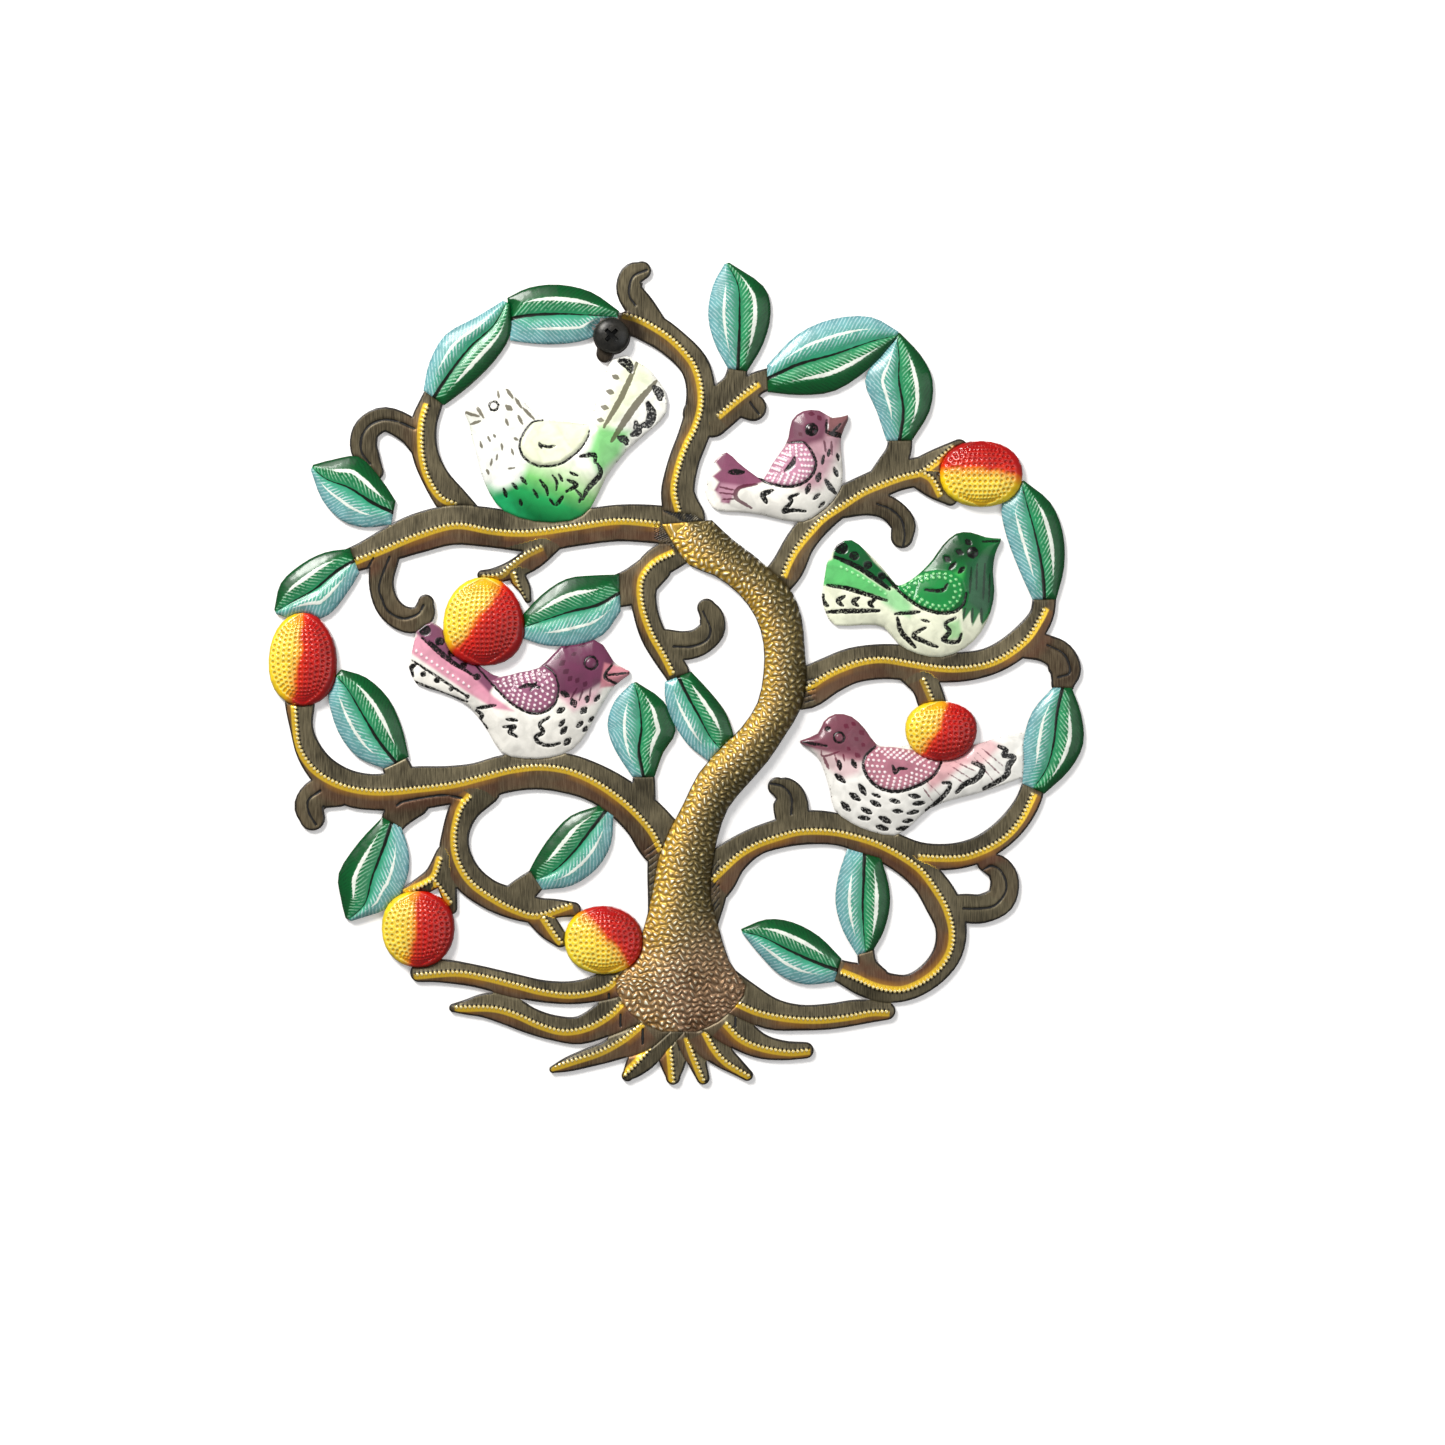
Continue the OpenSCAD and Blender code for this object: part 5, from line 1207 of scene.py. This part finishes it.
        tint=[(0.8, [(57, -17.6), (58.2, -18.4)]), (0.7, [(59.6, -16.8), (60.6, -17.6)]),
              (0.9, [(62.4, -19.8), (63.4, -20.8)]),
              (0.8, [(60.6, -22), (61.4, -22.8)]), (0.7, [(63, -24), (63.8, -24.8)]),
              (0.6, [(58, -25.4), (58.8, -26)]),
              (0.9, [(60.8, -27.4), (62, -28.4)]), (0.35, [(49, -26.2), (49.9, -28.3), (55.4, -26.6)]),
              (0.5, [(49.9, -28.3), (51.6, -32.5)]), (0.4, [(53.5, -27.5), (55.5, -33)]),
              (0.4, [(56.5, -27.5), (57, -30)]),
              (0.22, [(85, -37), (89.5, -41.5)]), (0.22, [(83.6, -39), (87, -43.5)]),
              (0.22, [(93, -31.5), (100, -36)]),
              (0.22, [(92, -34), (98, -37.6)]), (0.22, [(94.5, -30), (101.5, -33.4)]),
              (0.22, [(102, -27), (110, -34.5)]),
              (0.22, [(103.6, -25.6), (110.8, -31.5)]), (0.22, [(101, -28.6), (107.5, -36.6)])]),
}


# Signed distance to a closed outline, negative inside
def fromArea(points, area):
    ring = np.array(area + [area[0]], float)
    gap = nearRim(points, np.stack([ring[:-1], ring[1:]], 1))
    inside = np.zeros(len(points), bool)
    for (x0, z0), (x1, z1) in zip(ring[:-1], ring[1:]):
        if z0 == z1:
            continue
        crosses = (points[:, 1] < z0) != (points[:, 1] < z1)
        inside ^= crosses & (points[:, 0] < x0 + (points[:, 1] - z0) * (x1 - x0) / (z1 - z0))
    return np.where(inside, -gap, gap)


def fromStrokes(points, strokes, taper=0.55):
    nearest = np.full(len(points), 9.0)
    for half, line in strokes:
        curve = smoothLine(line)
        along, across, _ = alongLine(points, curve)
        full = np.linalg.norm(np.diff(curve, axis=0), axis=1).sum()
        width = half * (1 - taper * np.abs(2 * along / full - 1) ** 2)
        nearest = np.minimum(nearest, np.abs(across) - width)
    return nearest


def wingRows(look):
    ring = smoothLine(look["wing"] + [look["wing"][0]], 8)
    middle = np.array(look["wing"]).mean(0)
    dots = [list(look.get("stipple", ()))]
    for share in look["rows"]:
        row = middle + (ring - middle) * share
        length = np.concatenate([[0], np.cumsum(np.linalg.norm(np.diff(row, axis=0), axis=1))])
        at = np.arange(0, length[-1] - bird["dotPitch"] / 2, bird["dotPitch"])
        dots.append(list(zip(np.interp(at, length, row[:, 0]), np.interp(at, length, row[:, 1]))))
    return [dot for row in dots for dot in row]


def birdShape(name):
    look = birds[name]

    def shape(points, rim):
        along, across, _ = alongLine(points, smoothLine(look["line"]))
        u = across / (np.abs(across) + rim + 0.01)
        v = np.clip(along / along.max(), 0.001, 0.999)
        height = bird["relief"] * np.sin(np.pi * v ** 0.75) ** 0.6 * np.clip(1 - u ** 2, 0, 1) ** 0.9
        wing = fromArea(points, look["wing"])
        height += bird["wingHigh"] * soften(-wing, -0.3, bird["wingSoft"])
        strokes = [(look["outline"][0], look["outline"][1])]
        ink = np.minimum(fromStrokes(points, strokes, 0.25),
                         fromStrokes(points, look["ink"]) - bird["brushFull"])
        for x, z, size in look["spots"]:
            ink = np.minimum(ink, np.hypot((points[:, 0] - x), (points[:, 1] - z) * 1.1) - size)
        x, z, size, kind = look["eye"]
        eye = np.hypot(points[:, 0] - x, points[:, 1] - z)
        ink = np.minimum(ink, eye - size if kind == "disc" else np.abs(eye - size + 0.25) - 0.38)
        height += 0.5 * soften(-eye, -size - 0.3, -size * 0.3)
        tint = fromStrokes(points, look["tint"])
        dots = np.full(len(points), 9.0)
        for x, z in wingRows(look):
            dots = np.minimum(dots, np.hypot(points[:, 0] - x, points[:, 1] - z) - bird["dotSize"])
        height += 0.2 * soften(-dots, -0.3, 0.3)
        height -= bird["groove"] * soften(-ink, -0.3, 0.2)
        colour = np.tile(np.array(paint(*look["base"])[:3]), (len(points), 1))
        washes = look["washes"] + [("area", look["wing"], look["wingColour"], 0.4, 1)]
        for wash in washes:
            if wash[0] == "area":
                _, area, tone, soft, strength = wash
                amount = strength * soften(-fromArea(points, area), -soft / 2, soft / 2)
                colour += (np.array(paint(*tone)[:3]) - colour) * amount[:, None]
            else:
                _, start, end, stops = wash
                way = np.array(end) - start
                t = np.clip((points - np.array(start)) @ way / (way @ way), 0, 1)
                tones3 = np.array([paint(*s[1])[:3] for s in stops])
                places = [s[0] for s in stops]
                mixed = np.stack([np.interp(t, places, tones3[:, k]) for k in range(3)], 1)
                amount = np.interp(t, places, [s[2] for s in stops])
                colour += (mixed - colour) * amount[:, None]
        colour = np.concatenate([colour, np.ones((len(points), 1))], 1)
        return np.maximum(height, 0), dict(wash=colour, brush=np.stack([ink, tint, dots], 1), rimGap=rim)

    return shape


def makeBirdPaint(name, second, stipple):
    material, tree, shader, place = newMaterial(name)
    shader.inputs["Coat Weight"].default_value = 0.12
    shader.inputs["Specular IOR Level"].default_value = 0.32
    ink, tint, dots = split(tree, noted(tree, "brush", "Vector"))[:3]
    waver = calc(tree, "MULTIPLY", calc(tree, "SUBTRACT", noise(tree, place, 900.0), 0.5), 0.7)
    worn = useGroup(tree, paintWear, Vector=place, Colour=noted(tree, "wash", "Color"),
                    Rim=noted(tree, "rimGap"))
    dry = span(tree, noise(tree, place, 1500.0), 0.3, 0.5, 0.55, 1.0)
    colour = lay(tree, calc(tree, "MULTIPLY", span(tree, calc(tree, "ADD", tint, waver), 0.15, -0.1), 0.85),
                 worn["Colour"], paint(*second))
    colour = lay(tree, calc(tree, "MULTIPLY", span(tree, dots, 0.1, -0.15), 0.8), colour, paint(*stipple))
    mark = span(tree, calc(tree, "ADD", ink, waver), 0.15, -0.1)
    colour = lay(tree, calc(tree, "MULTIPLY", mark, dry), colour, paint(6, 5, 4))
    height = calc(tree, "ADD", calc(tree, "MULTIPLY", worn["Height"], 0.3),
                  calc(tree, "MULTIPLY", span(tree, dots, 0.2, -0.3), 0.6))
    overBack(tree, shader, place, colour, worn["Roughness"], 0.0, height, 0.14 * mm)
    return material


for name, look in birds.items():
    coat = makeBirdPaint(name + "Paint", look["second"], look.get("dots", (250, 236, 236)))
    raiseSheet(name, birdShape(name), coat, sheet["fineCell"])
print("birds raised")
for cutter in cutters.values():
    bpy.data.objects.remove(cutter)


# Screw: domed head with a cross recess, plain neck and rolled thread

screw = dict(headR=5.95, headY=-1.5, headHigh=3.4, neckR=1.8, shankR=2.1, length=26, tip=4.2, pitch=1.8,
             threadDeep=0.35, crossLong=6.4, crossWide=1.7, crossDeep=1.8)


def makeScrewPaint():
    material, tree, shader, place = newMaterial("screwBlack", **{"Specular IOR Level": 0.4})
    grain = noise(tree, place, 900.0, (1, 1, 1), 3.0)
    cloud = noise(tree, place, 240.0, (1, 1, 1), 3.0)
    colour = lay(tree, span(tree, cloud, 0.3, 0.7), paint(24, 24, 22), paint(46, 44, 40))
    scuff = span(tree, noise(tree, place, 500.0, (1, 6, 1), 4.0), 0.62, 0.72)
    colour = lay(tree, calc(tree, "MULTIPLY", scuff, 0.4), colour, paint(90, 86, 80))
    x, y, z = split(tree, place)[:3]
    reach = calc(tree, "SQRT", calc(tree, "ADD", calc(tree, "MULTIPLY", x, x),
                                    calc(tree, "MULTIPLY", z, z)))
    # Painted shade: the cross is painted near-black inside, near the axis, below the crown and above the
    # flat underside
    arm, crown = screw["crossLong"] / 2, screw["headY"] - screw["headHigh"]
    recessShade = calc(tree, "MULTIPLY", span(tree, reach, (arm + 0.3) * mm, (arm + 0.1) * mm),
                  span(tree, y, (crown + 0.3) * mm, (crown + 0.6) * mm))
    recessShade = calc(tree, "MULTIPLY", recessShade, span(tree, y, (screw["headY"] + 0.5) * mm, screw["headY"] * mm))
    colour = lay(tree, calc(tree, "MULTIPLY", recessShade, 0.95), colour, paint(1, 1, 1))
    finishMaterial(tree, shader, colour, span(tree, grain, 0.3, 0.7, 0.28, 0.42), 0.25, grain, 0.04 * mm)
    return material


def makeScrew():
    bpy.ops.object.select_all(action="DESELECT")
    bpy.ops.mesh.primitive_uv_sphere_add(segments=96, ring_count=48, radius=1, rotation=(math.pi / 2, 0, 0))
    head = bpy.context.object
    head.name = "Screw_head"
    bpy.ops.object.transform_apply(location=True, rotation=True, scale=True)
    mesh = head.data
    p = pointsOf(mesh)
    under = p[:, 1] > 0
    flat = np.hypot(p[:, 0], p[:, 2])
    low, high = 0.3 * screw["headHigh"], 0.7 * screw["headHigh"]
    # The back half of the ball becomes the straight rim and flat underside
    edge = np.clip(flat / math.cos(math.radians(22)), 0, 1)
    y = np.where(under, np.minimum(p[:, 1] / math.sin(math.radians(22)), 1) * low, p[:, 1] * high)
    spread = np.where(under, edge / np.maximum(flat, 1e-6), 1)
    p[:, 0] *= spread * screw["headR"]
    p[:, 2] *= spread * screw["headR"]
    p[:, 1] = screw["headY"] - low + y
    setPoints(mesh, p * mm)
    bpy.ops.object.select_all(action="DESELECT")
    bars = []
    for turn in (45, 135):
        bpy.ops.mesh.primitive_cube_add(size=1, location=(0, (screw["headY"] - screw["headHigh"]) * mm, 0),
                                        rotation=(0, math.radians(turn), 0))
        bar = bpy.context.object
        bar.scale = (screw["crossLong"] * mm, 2 * screw["crossDeep"] * mm, screw["crossWide"] * mm)
        bpy.ops.object.transform_apply(location=True, rotation=True, scale=True)
        inner = pointsOf(bar.data)
        deep = inner[:, 1] > (screw["headY"] - screw["headHigh"]) * mm
        inner[deep, 0] *= 0.7
        inner[deep, 2] *= 0.7
        setPoints(bar.data, inner)
        bars.append(bar)
    for bar in bars:
        applyModifier(head, "BOOLEAN", operation="DIFFERENCE", object=bar, solver="EXACT")
    for bar in bars:
        bpy.data.objects.remove(bar)
    applyModifier(head, "BEVEL", width=0.12 * mm, segments=2, limit_method="ANGLE",
                  angle_limit=math.radians(38))
    bpy.ops.object.shade_smooth_by_angle(angle=math.radians(40))
    bpy.ops.object.select_all(action="DESELECT")
    top, end = screw["headY"] - 0.4, screw["length"] + screw["tip"]
    bpy.ops.mesh.primitive_grid_add(x_subdivisions=48, y_subdivisions=260, size=1)
    shank = bpy.context.object
    shank.name = "Screw_shank"
    p = pointsOf(shank.data)
    turn, run = (p[:, 0] + 0.5) * math.tau, (p[:, 1] + 0.5) * (end - top) + top
    ridge = 1 - np.abs(((run / screw["pitch"] - turn / math.tau) % 1) * 2 - 1)
    core = screw["shankR"] - screw["threadDeep"] * (1 - soften(ridge, 0.45, 1.0))
    radius = np.where(run < 0.2, screw["neckR"], np.where(run < 1.6, screw["shankR"], core))
    radius = radius * np.clip((end - run) / screw["tip"], 0.02, 1) ** 0.8
    setPoints(shank.data, np.stack([radius * np.cos(turn), run, radius * np.sin(turn)], 1) * mm)
    pickOnly(shank)
    bpy.ops.object.mode_set(mode="EDIT")
    bpy.ops.mesh.select_all(action="SELECT")
    bpy.ops.mesh.remove_doubles(threshold=0.004 * mm)
    bpy.ops.mesh.select_all(action="DESELECT")
    bpy.ops.mesh.select_non_manifold()
    bpy.ops.mesh.fill_holes(sides=0)
    bpy.ops.mesh.select_all(action="SELECT")
    bpy.ops.mesh.normals_make_consistent(inside=False)
    bpy.ops.object.mode_set(mode="OBJECT")
    bpy.ops.object.shade_smooth_by_angle(angle=math.radians(50))
    black = makeScrewPaint()
    for piece in (head, shank):
        piece.data.materials.clear()
        piece.data.materials.append(black)
        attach(piece, "screw")
        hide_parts("wall_screw")


makeScrew()
print("screw made")


# Wall, light and camera

stage = dict(frameWide=0.4913, centre=(0.0376, -0.1313), distance=1.4, wallSize=4)


def makeWall():
    bpy.ops.object.select_all(action="DESELECT")
    bpy.ops.mesh.primitive_plane_add(size=stage["wallSize"], location=(0, 0.0004, 0),
                                     rotation=(math.pi / 2, 0, 0))
    wall = bpy.context.object
    wall.name = "Wall"
    material, tree, shader, place = newMaterial("wallWhite")
    grain = noise(tree, place, 60.0, (1, 1, 1), 4.0)
    feed(tree, shader.inputs["Base Color"], lay(tree, grain, (1.0, 0.985, 0.975, 1), (1.0, 0.99, 0.985, 1)))
    shader.inputs["Roughness"].default_value = 0.9
    shader.inputs["Emission Color"].default_value = (1, 1, 1, 1)
    shader.inputs["Emission Strength"].default_value = 0.14
    clear = put(tree, "ShaderNodeBsdfTransparent")
    mix = put(tree, "ShaderNodeMixShader")
    out = next(n for n in tree.nodes if n.type == "OUTPUT_MATERIAL")
    feed(tree, mix.inputs[0], put(tree, "ShaderNodeNewGeometry").outputs["Backfacing"])
    tree.links.new(shader.outputs[0], mix.inputs[1])
    tree.links.new(clear.outputs[0], mix.inputs[2])
    tree.links.new(mix.outputs[0], out.inputs[0])
    wall.data.materials.append(material)
    wall.visible_shadow = wall.visible_diffuse = wall.visible_glossy = wall.visible_transmission = False


def aim(piece, target):
    way = np.array(target) - np.array(piece.location)
    flat = math.hypot(way[0], way[1])
    piece.rotation_euler = (math.atan2(flat, -way[2]), 0, math.atan2(-way[0], way[1]))


def addLight(name, place, size, power, tint):
    light = bpy.data.lights.new(name, "AREA")
    light.shape, light.size, light.energy, light.color = "SQUARE", size, power, tint
    lamp = bpy.data.objects.new(name, light)
    bpy.context.scene.collection.objects.link(lamp)
    lamp.location = place
    aim(lamp, (0.03, 0, -0.12))


makeWall()
addLight("keyLight", (-0.75, -1.0, 0.95), 0.55, 35, (1.0, 0.98, 0.95))
addLight("fillLight", (1.0, -1.3, -0.1), 1.2, 7, (0.97, 0.98, 1.0))
addLight("backLight", (0.6, 1.6, 0.8), 1.0, 14, (1.0, 1.0, 1.0))
world = bpy.data.worlds.new("studio")
bpy.context.scene.world = world
world.use_nodes = True
world.node_tree.nodes["Background"].inputs[0].default_value = (1, 1, 1, 1)
world.node_tree.nodes["Background"].inputs[1].default_value = 0.29
bpy.context.scene.view_settings.view_transform = "Standard"
camera = bpy.data.objects.new("Camera", bpy.data.cameras.new("Camera"))
bpy.context.scene.collection.objects.link(camera)
camera.data.lens = camera.data.sensor_width * stage["distance"] / stage["frameWide"]
camera.location = (stage["centre"][0], -stage["distance"], stage["centre"][1])
camera.rotation_euler = (math.pi / 2, 0, 0)
bpy.context.scene.camera = camera
print("stage set")
